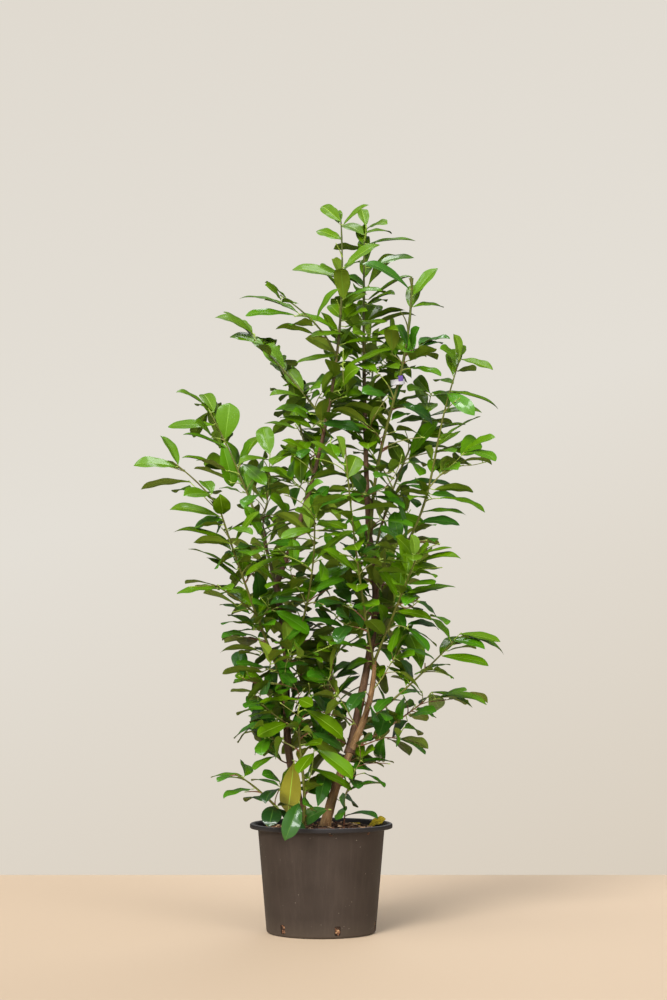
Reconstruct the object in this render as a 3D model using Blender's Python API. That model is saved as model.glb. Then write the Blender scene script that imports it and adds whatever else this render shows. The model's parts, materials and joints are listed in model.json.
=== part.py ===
"""Potted cherry laurel: an evergreen shrub with several stems, in a round nursery pot.

Metres, +Z up. The origin is the centre of the pot's flat underside, and the front of the plant
faces -Y. The limbs are tapered tubes along bowed paths, and each mass of leaves is a lumpy solid
round a spine, pressed in where its neighbours meet it and cut round the limbs that run through it.
"""

import math
import random
from typing import NamedTuple

import bmesh
import bpy
from mathutils import Vector, noise

# Driving sizes of the pot
POT_HEIGHT = 0.272
RIM_RADIUS = 0.180
BODY_TOP_RADIUS = 0.161
BASE_RADIUS = 0.138
WALL = 0.0025
FLOOR = 0.003
LIP_DEPTH = 0.012
LIP_ROUND = 0.002
BASE_ROUND = 0.008
POT_SEGMENTS = 32
LIP_STEPS = 2
FOOT_STEPS = 3

# Drain slots round the foot of the pot
SLOT_COUNT = 6
SLOT_TURN = math.radians(-42.7)
SLOT_WIDTH = 0.018
SLOT_DEPTH = 0.032
SLOT_LOW = 0.007
SLOT_HIGH = 0.032

# The growing medium is flat round the stems and falls away a little towards the wall
GROUND = 0.266
HEAP_RADIUS = 0.080
HEAP_FOOT = 0.26015
HEAP_FOOT_RADIUS = 0.112
GROUND_AT_WALL = 0.257

# Touching pieces keep this gap, closer points are welded, and objects this near are cut
GAP = 0.0003
WELD = 1e-6
NEAR = 0.002

# Edges sharper than this aren't shaded smooth
SHARP_ANGLE = math.radians(40)

# Limbs: the flare at the root of a stem, and how finely each tube is divided
FLARE = 0.20
FLARE_HEIGHT = 0.025
FLARE_RING = 0.0175
STEM_SIDES = 8
BOUGH_SIDES = 6
STEM_RADIUS = 0.006
PIECE_LENGTH = 0.11
LEAST_PIECES = 4
TANGENT_STEP = 0.01

# Masses of leaves: how finely they are divided, how they fill out and how lumpy they are
MASS_RINGS = 6
MASS_SIDES = 8
FULLNESS = 0.55
LOW_CAP = 0.35
HIGH_CAP = 0.07
BULGE_HEIGHT = 0.52
BULGE_SIZE = 0.09
BULGE_PLACES = 9
ROOM_BETWEEN_MASSES = 0.09
REACH_STEPS = 12
SEED = 27


class Limb(NamedTuple):
    """A tapered limb. It starts at a share of its parent's length, or at a place on the ground."""

    name: str
    parent: str
    start: float | tuple
    tip: tuple
    bow: tuple
    sway: tuple
    radii: tuple
    bark: str


class Mass(NamedTuple):
    """A mass of leaves round a straight spine, with its greatest radius."""

    name: str
    low: tuple
    high: tuple
    spread: float
    leaf: str


LIMBS = (
    Limb("stem_left", "", (-0.036, 0.020), (-0.116, 0.035, 0.875), (-0.013, 0.012, 0),
         (-0.013, 0.008, 0), (0.0105, 0.0075), "bark_dark"),
    Limb("stem_right", "", (0.010, -0.030), (0.134, -0.060, 0.680), (0.010, -0.006, 0),
         (-0.010, 0, 0), (0.0128, 0.0056), "bark_light"),
    Limb("stem_middle", "stem_right", 0.44, (0.122, 0.030, 1.003), (0.031, 0.022, 0),
         (-0.006, 0, 0), (0.0105, 0.0080), "bark_dark"),
    Limb("stem_front", "", (-0.044, -0.066), (-0.057, -0.110, 0.563), (0.004, -0.010, 0),
         (0.003, 0, 0), (0.0045, 0.0022), "bark_green"),
    Limb("stem_low_left", "", (-0.070, -0.040), (-0.213, -0.085, 0.400), (0, 0, 0.012),
         (0, 0, 0), (0.0036, 0.0020), "bark_green"),
    Limb("leader_left", "stem_left", 1.0, (0.050, -0.030, 1.808), (0.055, -0.010, 0),
         (0, 0.010, 0), (0.0068, 0.0018), "bark_dark"),
    Limb("leader_middle", "stem_middle", 1.0, (0.112, 0.065, 1.779), (-0.006, 0.018, 0),
         (0, 0, 0), (0.0075, 0.0020), "bark_dark"),
    Limb("leader_right", "stem_middle", 0.97, (0.232, -0.055, 1.654), (0, -0.010, 0),
         (-0.012, 0, 0), (0.0045, 0.0031), "bark_green"),
    Limb("bough_left", "stem_left", 0.555, (-0.251, -0.120, 1.052), (-0.005, -0.015, 0),
         (0, 0, 0), (0.0042, 0.0022), "bark_green"),
    Limb("bough_far_left", "bough_left", 1.0, (-0.367, -0.152, 1.172), (0.012, 0, 0),
         (0, 0, 0), (0.0022, 0.0016), "bark_green"),
    Limb("bough_left_low", "bough_left", 0.43, (-0.266, -0.165, 0.868), (0, 0, 0.006),
         (0, 0, 0), (0.0024, 0.0016), "bark_green"),
    Limb("bough_upper_left", "stem_left", 0.93, (-0.291, 0.100, 1.327), (0.020, 0.010, 0),
         (0, 0, 0), (0.0043, 0.0017), "bark_green"),
    Limb("bough_high_left", "leader_left", 0.44, (-0.176, 0.090, 1.518), (0.010, 0, 0),
         (0, 0, 0), (0.0034, 0.0016), "bark_green"),
    Limb("bough_highest_left", "leader_left", 0.62, (-0.104, -0.100, 1.602), (0.022, -0.012, 0),
         (0, 0, 0), (0.0029, 0.0016), "bark_green"),
    Limb("bough_front_left", "stem_left", 0.64, (-0.016, -0.200, 1.039), (0.022, -0.030, 0),
         (0, 0, 0), (0.0034, 0.0018), "bark_green"),
    Limb("bough_front", "stem_right", 0.97, (0.060, -0.270, 1.195), (-0.008, -0.035, 0),
         (0, 0, 0), (0.0031, 0.0018), "bark_green"),
    Limb("bough_right_fork", "stem_right", 1.0, (0.239, -0.180, 0.944), (0, -0.010, 0),
         (0, 0, 0), (0.0034, 0.0019), "bark_green"),
    Limb("bough_right_inner", "stem_middle", 0.88, (0.271, 0.130, 1.314), (-0.016, 0.010, 0),
         (0, 0, 0), (0.0038, 0.0018), "bark_green"),
    Limb("bough_right_high", "stem_middle", 0.74, (0.356, -0.030, 1.459), (0.035, -0.015, 0),
         (0.015, 0, 0), (0.0042, 0.0016), "bark_green"),
    Limb("bough_right_low", "stem_right", 0.61, (0.330, -0.040, 0.725), (0, 0, -0.008),
         (0, 0, 0), (0.0032, 0.0017), "bark_green"),
    Limb("bough_lowest_right", "stem_right", 0.47, (0.262, 0.070, 0.575), (0, 0, -0.006),
         (0, 0, 0), (0.0031, 0.0017), "bark_light"),
    Limb("bough_back_left", "stem_left", 0.70, (-0.160, 0.270, 1.050), (0, 0.030, 0),
         (0, 0, 0), (0.0048, 0.0024), "bark_dark"),
    Limb("bough_back_right", "stem_middle", 0.45, (0.190, 0.270, 1.010), (0, 0.030, 0),
         (0, 0, 0), (0.0048, 0.0024), "bark_dark"),
    Limb("bough_back_high", "leader_middle", 0.25, (0.140, 0.245, 1.500), (0, 0.020, 0),
         (0, 0, 0), (0.0040, 0.0020), "bark_green"),
    Limb("bough_back_upper_left", "leader_left", 0.30, (-0.090, 0.230, 1.420), (0, 0.020, 0),
         (0, 0, 0), (0.0040, 0.0020), "bark_green"),
)

MASSES = (
    Mass("leaves_top_left", (0.058, -0.020, 1.640), (0.025, -0.030, 1.856), 0.105, "leaf_young"),
    Mass("leaves_top_middle", (0.120, 0.075, 1.650), (0.160, 0.100, 1.850), 0.090, "leaf_young"),
    Mass("leaves_top_right", (0.215, -0.060, 1.470), (0.260, -0.065, 1.720), 0.095, "leaf_young"),
    Mass("leaves_highest_left", (-0.020, -0.090, 1.530), (-0.212, -0.125, 1.612), 0.058, "leaf_young"),
    Mass("leaves_high_left", (-0.060, 0.045, 1.370), (-0.262, 0.115, 1.565), 0.075, "leaf_young"),
    Mass("leaves_high_front", (0.040, -0.035, 1.350), (0.070, -0.060, 1.600), 0.105, "leaf_mature"),
    Mass("leaves_high_back", (0.112, 0.085, 1.350), (0.115, 0.100, 1.610), 0.095, "leaf_mature"),
    Mass("leaves_right_high", (0.310, -0.030, 1.290), (0.400, -0.045, 1.525), 0.080, "leaf_young"),
    Mass("leaves_right_outer", (0.220, 0.100, 1.230), (0.455, 0.150, 1.335), 0.075, "leaf_mature"),
    Mass("leaves_right_middle", (0.285, -0.008, 1.130), (0.440, 0.050, 1.215), 0.068, "leaf_mature"),
    Mass("leaves_right_inner", (0.225, -0.030, 0.970), (0.410, -0.060, 1.060), 0.075, "leaf_mature"),
    Mass("leaves_right_fork", (0.200, -0.145, 0.820), (0.345, -0.230, 0.950), 0.090, "leaf_young"),
    Mass("leaves_right_low", (0.230, -0.035, 0.620), (0.462, -0.060, 0.720), 0.070, "leaf_young"),
    Mass("leaves_lowest_right", (0.180, 0.045, 0.520), (0.410, 0.110, 0.570), 0.065, "leaf_mature"),
    Mass("leaves_front", (0.095, -0.190, 0.880), (0.050, -0.330, 1.230), 0.105, "leaf_young"),
    Mass("leaves_front_left", (-0.030, -0.120, 0.800), (-0.030, -0.270, 1.110), 0.095, "leaf_mature"),
    Mass("leaves_left", (-0.175, -0.080, 0.790), (-0.270, -0.130, 1.060), 0.095, "leaf_young"),
    Mass("leaves_far_left", (-0.300, -0.130, 1.130), (-0.477, -0.170, 1.195), 0.060, "leaf_young"),
    Mass("leaves_left_low", (-0.255, -0.175, 0.845), (-0.366, -0.225, 0.868), 0.050, "leaf_young"),
    Mass("leaves_upper_left", (-0.190, 0.070, 1.130), (-0.350, 0.140, 1.390), 0.095, "leaf_young"),
    Mass("leaves_left_inner", (-0.135, 0.050, 0.930), (-0.120, 0.040, 1.230), 0.085, "leaf_mature"),
    Mass("leaves_left_foot", (-0.120, 0.010, 0.480), (-0.170, 0.020, 0.790), 0.095, "leaf_mature"),
    Mass("leaves_middle_foot", (-0.015, 0.020, 0.480), (-0.015, 0.035, 0.780), 0.100, "leaf_mature"),
    Mass("leaves_middle", (-0.050, 0.030, 0.870), (-0.010, 0.020, 1.240), 0.085, "leaf_mature"),
    Mass("leaves_middle_right", (0.130, 0.020, 0.700), (0.130, 0.030, 0.980), 0.090, "leaf_mature"),
    Mass("leaves_middle_high", (0.125, -0.030, 1.070), (0.170, -0.050, 1.350), 0.100, "leaf_mature"),
    Mass("leaves_back_left", (-0.120, 0.190, 0.830), (-0.190, 0.340, 1.160), 0.095, "leaf_mature"),
    Mass("leaves_back_right", (0.150, 0.200, 0.790), (0.210, 0.345, 1.130), 0.098, "leaf_mature"),
    Mass("leaves_back_high", (0.130, 0.185, 1.330), (0.160, 0.300, 1.590), 0.095, "leaf_mature"),
    Mass("leaves_back_upper_left", (-0.050, 0.160, 1.230), (-0.120, 0.290, 1.520), 0.100, "leaf_mature"),
    Mass("leaves_low_left", (-0.120, -0.060, 0.345), (-0.278, -0.105, 0.410), 0.050, "leaf_mature"),
    Mass("leaves_right_foot", (0.075, -0.035, 0.385), (0.215, 0.000, 0.465), 0.058, "leaf_mature"),
    Mass("leaves_front_foot", (-0.050, -0.095, 0.330), (-0.060, -0.130, 0.640), 0.090, "leaf_mature"),
)

# Base colour and roughness of each material
FINISHES = {
    "pot_plastic": ((0.083, 0.067, 0.053), 0.62),
    "growing_medium": ((0.035, 0.022, 0.015), 0.95),
    "bark_dark": ((0.075, 0.035, 0.024), 0.70),
    "bark_light": ((0.160, 0.085, 0.048), 0.72),
    "bark_green": ((0.130, 0.190, 0.040), 0.55),
    "leaf_young": ((0.150, 0.330, 0.035), 0.38),
    "leaf_mature": ((0.045, 0.150, 0.025), 0.35),
}


def clear_scene():
    for obj in list(bpy.data.objects):
        bpy.data.objects.remove(obj, do_unlink=True)


def finish(name):
    """The named material, made once."""
    material = bpy.data.materials.get(name)
    if material is None:
        colour, roughness = FINISHES[name]
        material = bpy.data.materials.new(name)
        material.use_nodes = True
        shader = material.node_tree.nodes["Principled BSDF"]
        shader.inputs["Base Color"].default_value = (*colour, 1)
        shader.inputs["Roughness"].default_value = roughness
        shader.inputs["Metallic"].default_value = 0
        material.diffuse_color = (*colour, 1)
    return material


def object_from(name, mesh_builder, material_name):
    """An object from a bmesh, with its normals facing out and its faces flat, so that cuts are exact."""
    bmesh.ops.recalc_face_normals(mesh_builder, faces=mesh_builder.faces)
    bmesh.ops.triangulate(mesh_builder, faces=mesh_builder.faces)
    mesh = bpy.data.meshes.new(name)
    mesh_builder.to_mesh(mesh)
    mesh_builder.free()
    obj = bpy.data.objects.new(name, mesh)
    bpy.context.scene.collection.objects.link(obj)
    obj.data.materials.append(finish(material_name))
    mesh.shade_smooth()
    mesh.set_sharp_from_angle(angle=SHARP_ANGLE)
    return obj


def as_cutter(obj):
    obj.hide_render = True
    obj.display_type = "WIRE"
    return obj


def cut(obj, cutter):
    """Takes the cutter's shape out of the object."""
    boolean = obj.modifiers.new("cut_" + cutter.name, "BOOLEAN")
    boolean.operation = "DIFFERENCE"
    boolean.solver = "EXACT"
    boolean.object = cutter


def arc(centre, radius, first, last, steps):
    """Points (r, z) on a round edge, from one angle to another in degrees."""
    angles = [math.radians(first + (last - first) * i / steps) for i in range(steps + 1)]
    return [(centre[0] + radius * math.cos(a), centre[1] + radius * math.sin(a)) for a in angles]


def turned(name, profile, segments, material_name):
    """A solid of revolution from a profile that starts and ends on the axis."""
    builder = bmesh.new()
    points = [builder.verts.new((r, 0, z)) for r, z in profile]
    edges = [builder.edges.new(pair) for pair in zip(points, points[1:])]
    bmesh.ops.spin(builder, geom=points + edges, cent=(0, 0, 0), axis=(0, 0, 1),
                   angle=2 * math.pi, steps=segments, use_merge=True)
    bmesh.ops.remove_doubles(builder, verts=builder.verts, dist=WELD)
    return object_from(name, builder, material_name)


def wall_radius(height):
    """The pot's outer radius at a height on its body."""
    share = (height - BASE_ROUND) / (POT_HEIGHT - BASE_ROUND)
    return BASE_RADIUS + (BODY_TOP_RADIUS - BASE_RADIUS) * share


def pot():
    """The pot: a tapered bucket with a rounded foot, a turned-down lip and slots to drain."""
    lip_under = POT_HEIGHT - WALL
    lip_low = POT_HEIGHT - LIP_DEPTH
    inside_foot = BASE_ROUND + FLOOR
    foot_centre = (BASE_RADIUS - BASE_ROUND, BASE_ROUND)
    profile = [(0, 0)]
    profile += arc(foot_centre, BASE_ROUND, -90, 0, FOOT_STEPS)
    profile += [
        (wall_radius(lip_under), lip_under),
        (RIM_RADIUS - WALL, lip_under),
        (RIM_RADIUS - WALL, lip_low),
        (RIM_RADIUS, lip_low),
    ]
    profile += arc((RIM_RADIUS - LIP_ROUND, POT_HEIGHT - LIP_ROUND), LIP_ROUND, 0, 90, LIP_STEPS)
    profile += [
        (BODY_TOP_RADIUS - WALL, POT_HEIGHT),
        (wall_radius(inside_foot) - WALL, inside_foot),
        (BASE_RADIUS - BASE_ROUND - WALL, FLOOR),
        (0, FLOOR),
    ]
    body = turned("pot", profile, POT_SEGMENTS, "pot_plastic")
    for i in range(SLOT_COUNT):
        cut(body, slot_cutter(i))
    return body


def slot_cutter(index):
    """A block through the wall, turned to its place round the foot. Slots count from the front."""
    turn = SLOT_TURN + index * 2 * math.pi / SLOT_COUNT
    middle = wall_radius(SLOT_LOW)
    builder = bmesh.new()
    bmesh.ops.create_cube(builder, size=1)
    height = SLOT_HIGH - SLOT_LOW
    bmesh.ops.scale(builder, vec=(SLOT_WIDTH, SLOT_DEPTH, height), verts=builder.verts)
    slot = object_from(f"slot_cutter_{index + 1}", builder, "pot_plastic")
    slot.location = (middle * math.sin(turn), -middle * math.cos(turn), SLOT_LOW + height / 2)
    slot.rotation_euler.z = turn
    return as_cutter(slot)


def growing_medium():
    """The medium fills the pot to a little under the rim and is level round the stems."""
    inside_foot = BASE_ROUND + FLOOR
    low = FLOOR + GAP
    profile = [
        (0, low),
        (BASE_RADIUS - BASE_ROUND - WALL - 2 * GAP, low),
        (wall_radius(inside_foot) - WALL - 2 * GAP, inside_foot),
        (wall_radius(GROUND_AT_WALL) - WALL - 2 * GAP, GROUND_AT_WALL),
        (HEAP_FOOT_RADIUS, HEAP_FOOT),
        (HEAP_RADIUS, GROUND),
        (0, GROUND),
    ]
    return turned("growing_medium", profile, POT_SEGMENTS, "growing_medium")


def path_of(limb):
    """A function that gives the point at a share of the limb's length, from 0 to 1."""
    if limb.parent:
        parent = next(other for other in LIMBS if other.name == limb.parent)
        start = path_of(parent)(limb.start)
    else:
        start = Vector((*limb.start, GROUND + GAP))
    tip, bow, sway = Vector(limb.tip), Vector(limb.bow), Vector(limb.sway)

    def point(share):
        straight = start.lerp(tip, share)
        return straight + bow * (4 * share * (1 - share)) + sway * math.sin(2 * math.pi * share)

    return point


def radius_of(limb, share, height):
    """The radius at a share of the length, with a flare at the root of a stem from the ground."""
    radius = limb.radii[0] + (limb.radii[1] - limb.radii[0]) * share
    if not limb.parent:
        radius *= 1 + FLARE * math.exp(-(height - GROUND) / FLARE_HEIGHT)
    return radius


def ring_round(centre, along, radii):
    """Points round a centre, square to a direction, one for each radius."""
    side = along.cross(Vector((0, 1, 0))).normalized()
    other = along.cross(side).normalized()
    turns = [2 * math.pi * i / len(radii) for i in range(len(radii))]
    return [centre + r * (math.cos(a) * side + math.sin(a) * other) for r, a in zip(radii, turns)]


def loft(rings, poles=None):
    """A closed skin over a row of rings, with flat ends or, with poles, a point at each end."""
    builder = bmesh.new()
    loops = [[builder.verts.new(p) for p in ring] for ring in rings]
    count = len(loops[0])
    for lower, upper in zip(loops, loops[1:]):
        for i in range(count):
            j = (i + 1) % count
            builder.faces.new((lower[i], lower[j], upper[j], upper[i]))
    if poles is None:
        builder.faces.new(reversed(loops[0]))
        builder.faces.new(loops[-1])
        return builder
    for loop, pole in ((loops[0], poles[0]), (loops[-1], poles[1])):
        end = builder.verts.new(pole)
        for i in range(count):
            builder.faces.new((loop[i], loop[(i + 1) % count], end))
    return builder


def limb_skin(limb, extra):
    """The limb's tube, with its radius and ends grown by a little where it is a cutter."""
    point = path_of(limb)
    from_ground = not limb.parent
    sides = STEM_SIDES if limb.radii[0] > STEM_RADIUS else BOUGH_SIDES
    length = (point(1) - point(0)).length
    count = max(LEAST_PIECES, round(length / PIECE_LENGTH))
    shares = [i / count for i in range(count + 1)]
    if from_ground:
        shares.insert(1, FLARE_RING / length)
    rings = []
    for share in shares:
        centre = point(share)
        along = (point(share + TANGENT_STEP) - point(share - TANGENT_STEP)).normalized()
        if from_ground and share == 0:
            along = Vector((0, 0, 1))
        if extra and share in (0, 1):
            centre = centre + along * (extra if share else -extra)
        radius = radius_of(limb, share, centre.z) + extra
        rings.append(ring_round(centre, along, [radius] * sides))
    return loft(rings)


def near(first, second):
    """True if the boxes of two objects come this near."""
    boxes = []
    for obj in (first, second):
        corners = [obj.matrix_world @ Vector(c) for c in obj.bound_box]
        boxes.append([(min(c[i] for c in corners), max(c[i] for c in corners)) for i in range(3)])
    return all(a[0] - NEAR < b[1] and b[0] - NEAR < a[1] for a, b in zip(*boxes))


def limbs_and_cutters():
    """Each limb, cut back to the face of the limbs made before it, and a cutter of each limb."""
    made = []
    for limb in LIMBS:
        obj = object_from(limb.name, limb_skin(limb, 0), limb.bark)
        for earlier, cutter in made:
            if near(obj, cutter):
                cut(obj, cutter)
        cutter = object_from("cutter_" + limb.name, limb_skin(limb, GAP), limb.bark)
        made.append((obj, as_cutter(cutter)))
    return made


def from_spine(place, mass):
    """Distance from a mass's spine, as a share of the mass's spread."""
    low, high = Vector(mass.low), Vector(mass.high)
    spine = high - low
    share = max(0.0, min(1.0, (place - low).dot(spine) / spine.length_squared))
    return (place - low - spine * share).length / mass.spread


def reach(centre, way, wanted, mass):
    """How far from the centre the mass may reach before it would meet a neighbour."""
    def clear(distance):
        place = centre + way * distance
        own = from_spine(place, mass)
        return all(from_spine(place, m) - own > ROOM_BETWEEN_MASSES for m in MASSES if m != mass)

    if clear(wanted):
        return wanted
    short, far = 0.0, wanted
    for _ in range(REACH_STEPS):
        middle = (short + far) / 2
        short, far = (middle, far) if clear(middle) else (short, middle)
    return short


def mass_skin(mass, chance):
    """A lumpy skin round the spine: fullest in the middle, with bulges that follow a smooth noise."""
    low, high = Vector(mass.low), Vector(mass.high)
    along = (high - low).normalized()
    low_end = low - along * mass.spread * LOW_CAP
    high_end = high + along * mass.spread * HIGH_CAP
    offset = Vector([chance.uniform(0, BULGE_PLACES) for _ in range(3)])
    centres = [low_end.lerp(high_end, (i + 0.5) / MASS_RINGS) for i in range(MASS_RINGS)]
    rings = []
    for i, centre in enumerate(centres):
        girth = mass.spread * math.sin(math.pi * (i + 0.5) / MASS_RINGS) ** FULLNESS
        ways = ring_round(Vector((0, 0, 0)), along, [1.0] * MASS_SIDES)
        ring = []
        for way in ways:
            lump = noise.noise((centre + way * girth) / BULGE_SIZE + offset)
            wanted = girth * (1 + BULGE_HEIGHT * lump)
            ring.append(centre + way * reach(centre, way, wanted, mass))
        rings.append(ring)
    poles = []
    for centre, way in ((centres[0], -along), (centres[-1], along)):
        step = (high_end - low_end).length / (2 * MASS_RINGS)
        poles.append(centre + way * reach(centre, way, step, mass))
    return loft(rings, poles)


def leaf_masses(limbs):
    """Each mass of leaves, with the limbs near it cut out of it."""
    chance = random.Random(SEED)
    for mass in MASSES:
        obj = object_from(mass.name, mass_skin(mass, chance), mass.leaf)
        for _, cutter in limbs:
            if near(obj, cutter):
                cut(obj, cutter)


clear_scene()
pot()
growing_medium()
leaf_masses(limbs_and_cutters())
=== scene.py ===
# %% [markdown]
# # A potted cherry laurel
# The plant is an evergreen shrub about 1.9 m high in a round nursery pot. Its stems, boughs, twigs
# and leaves could be sculpted by hand, but a shrub has hundreds of leaves that follow one habit. So
# this lesson writes the habit down as rules: limbs first, then shoots on the limbs, then leaves on
# the shoots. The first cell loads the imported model, which gives every limb and mass its place.

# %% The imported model
import json
import math
import random
from typing import NamedTuple

import bpy
import numpy as np
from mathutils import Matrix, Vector, kdtree, noise

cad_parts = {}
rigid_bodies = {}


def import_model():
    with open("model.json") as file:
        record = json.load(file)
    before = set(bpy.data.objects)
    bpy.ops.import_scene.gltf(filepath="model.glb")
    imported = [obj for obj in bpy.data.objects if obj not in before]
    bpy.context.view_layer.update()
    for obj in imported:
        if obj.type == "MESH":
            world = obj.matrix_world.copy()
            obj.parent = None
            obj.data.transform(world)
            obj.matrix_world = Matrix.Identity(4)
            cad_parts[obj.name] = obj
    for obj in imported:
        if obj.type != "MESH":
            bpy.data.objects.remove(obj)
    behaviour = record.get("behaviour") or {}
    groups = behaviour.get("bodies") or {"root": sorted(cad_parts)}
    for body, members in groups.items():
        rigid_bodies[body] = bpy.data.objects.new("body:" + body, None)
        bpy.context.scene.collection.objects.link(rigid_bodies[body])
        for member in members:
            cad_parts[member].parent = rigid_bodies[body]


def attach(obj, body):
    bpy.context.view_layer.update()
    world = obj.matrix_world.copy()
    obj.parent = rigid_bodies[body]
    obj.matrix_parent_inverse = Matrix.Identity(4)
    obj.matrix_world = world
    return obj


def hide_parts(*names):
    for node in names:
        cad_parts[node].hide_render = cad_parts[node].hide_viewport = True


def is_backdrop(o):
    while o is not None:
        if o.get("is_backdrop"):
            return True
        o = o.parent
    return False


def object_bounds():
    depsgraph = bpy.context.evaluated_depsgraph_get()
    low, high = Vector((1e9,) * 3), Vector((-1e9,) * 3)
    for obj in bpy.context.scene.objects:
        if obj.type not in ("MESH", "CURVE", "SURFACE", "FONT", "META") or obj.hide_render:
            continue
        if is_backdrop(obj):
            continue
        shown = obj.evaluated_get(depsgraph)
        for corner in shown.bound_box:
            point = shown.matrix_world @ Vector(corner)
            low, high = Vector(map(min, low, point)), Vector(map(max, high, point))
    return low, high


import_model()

CAD_BOX = [list(corner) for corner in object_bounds()]
RANDOM = random.Random(41)
UP = np.array((0.0, 0.0, 1.0))


def new_object(name, data):
    """An object in the scene that holds a mesh, light or camera."""
    obj = bpy.data.objects.new(name, data)
    bpy.context.scene.collection.objects.link(obj)
    return obj


print("the frame's box in metres:", CAD_BOX)

# %% [markdown]
# ## The camera
# The photograph was taken from the front, with the lens at about a third of the plant's height and
# tilted up a little, so that the upper leaves show their undersides. A camera could be aimed by eye.
# Here it was worked out from the ellipses of the pot's rim and foot, which fixes distance, height
# and tilt together. The same numbers turn a pixel of the picture into a place on the plant.

# %% The camera and the way back from the picture
LENS_AT = np.array((0.031, -5.2, 0.69))
TILT = math.radians(4.4)
FOCAL_PIXELS = 2040.0
PICTURE = (667, 1000)
SENSOR = 36

camera = new_object("camera", bpy.data.cameras.new("camera"))
camera.location = LENS_AT
camera.rotation_euler = (math.pi / 2 + TILT, 0, 0)
camera.data.sensor_width = SENSOR
camera.data.lens = FOCAL_PIXELS * SENSOR / PICTURE[1]
bpy.context.scene.camera = camera

AHEAD = np.array((0.0, math.cos(TILT), math.sin(TILT)))
OVERHEAD = np.array((0.0, -math.sin(TILT), math.cos(TILT)))


def from_picture(across, down, depth):
    """The point at a depth (its y) that the picture shows at this pixel."""
    ray = AHEAD - OVERHEAD * ((down - PICTURE[1] / 2) / FOCAL_PIXELS)
    ray = ray + np.array((1.0, 0, 0)) * ((across - PICTURE[0] / 2) / FOCAL_PIXELS)
    return LENS_AT + ray * ((depth - LENS_AT[1]) / ray[1])


def in_picture(points):
    """The pixels at which points show."""
    away = np.asarray(points, float) - LENS_AT
    deep = away @ AHEAD
    across = PICTURE[0] / 2 + FOCAL_PIXELS * away[..., 0] / deep
    down = PICTURE[1] / 2 - FOCAL_PIXELS * (away @ OVERHEAD) / deep
    return np.stack((across, down), axis=-1)


print("lens", round(camera.data.lens, 2), "mm")

# %% [markdown]
# ## A way to make meshes
# Thousands of faces are quicker to make from arrays than one by one. Skin collects points and faces
# piece by piece and then makes one mesh. It also keeps a "place" for each point: where the point lies
# on a leaf or round a stem, in metres. Materials read it, so that grain follows each limb.

# %% Meshes from arrays
CREASE = math.radians(70)
EDGE_CREASE = math.radians(40)
DOME = 0.7
CAP_OUT = 0.0002


class Skin:
    """Points and faces that become one mesh."""

    def __init__(self):
        self.points = []
        self.places = []
        self.faces = []
        self.looks = []
        self.count = 0

    def add(self, points, faces, places=None):
        """Adds points (n, 3) and faces, which is a list of (array of quads or triangles, look)."""
        points = np.asarray(points, float).reshape(-1, 3)
        for corners, look in faces:
            corners = np.asarray(corners, np.int64)
            self.faces.append(corners + self.count)
            self.looks.append(np.broadcast_to(np.asarray(look, np.int64), (len(corners),)))
        self.points.append(points)
        self.places.append(points if places is None else np.asarray(places, float).reshape(-1, 3))
        self.count += len(points)

    def triangles(self):
        return sum(len(f) * (f.shape[1] - 2) for f in self.faces)

    def make(self, name, finishes):
        """The mesh object, shaded smooth, riding on the plant."""
        mesh = bpy.data.meshes.new(name)
        points = np.concatenate(self.points)
        mesh.vertices.add(len(points))
        mesh.vertices.foreach_set("co", points.astype(np.float32).ravel())
        corners = np.concatenate([f.ravel() for f in self.faces])
        sizes = np.concatenate([np.full(len(f), f.shape[1]) for f in self.faces])
        mesh.loops.add(len(corners))
        mesh.loops.foreach_set("vertex_index", corners.astype(np.int32))
        mesh.polygons.add(len(sizes))
        starts = np.concatenate(([0], np.cumsum(sizes)[:-1]))
        mesh.polygons.foreach_set("loop_start", starts.astype(np.int32))
        mesh.polygons.foreach_set("material_index", np.concatenate(self.looks).astype(np.int32))
        place = mesh.attributes.new("place", "FLOAT_VECTOR", "POINT")
        place.data.foreach_set("vector", np.concatenate(self.places).astype(np.float32).ravel())
        mesh.update(calc_edges=True)
        mesh.validate()
        mesh.shade_smooth()
        mesh.set_sharp_from_angle(angle=CREASE)
        for finish in finishes:
            mesh.materials.append(finish)
        obj = new_object(name, mesh)
        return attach(obj, "root")


def unit(vector):
    vector = np.asarray(vector, float)
    return vector / max(np.linalg.norm(vector), 1e-9)


def square_to(vector, axis):
    """The part of a vector that is square to an axis, at length 1."""
    axis = unit(axis)
    rest = vector - axis * float(np.dot(vector, axis))
    if np.linalg.norm(rest) < 1e-6:
        rest = np.cross(axis, (0.31, 0.87, 0.38))
    return unit(rest)


def run_along(points):
    """How far along a line each of its points lies."""
    return np.concatenate(([0], np.cumsum(np.linalg.norm(np.diff(points, axis=0), axis=1))))


def arched(start, bend, end, steps):
    """Points on a curve from start to end that leans towards bend."""
    shares = np.linspace(0, 1, steps)[:, None]
    return (1 - shares) ** 2 * start + 2 * shares * (1 - shares) * bend + shares ** 2 * end


def ring_faces(grid):
    """Quads between the rows of a grid of point numbers. Each row is a closed ring."""
    turned = np.roll(grid, -1, axis=1)
    return np.stack((grid[:-1], turned[:-1], turned[1:], grid[1:]), -1).reshape(-1, 4)


def end_caps(grid):
    """Triangles from the first and last ring to two points numbered straight after the grid's."""
    after = np.roll(grid, -1, axis=1)
    fans = [(after[0][i], grid[0][i], grid.size) for i in range(grid.shape[1])]
    return fans + [(grid[-1][i], after[-1][i], grid.size + 1) for i in range(grid.shape[1])]


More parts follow.
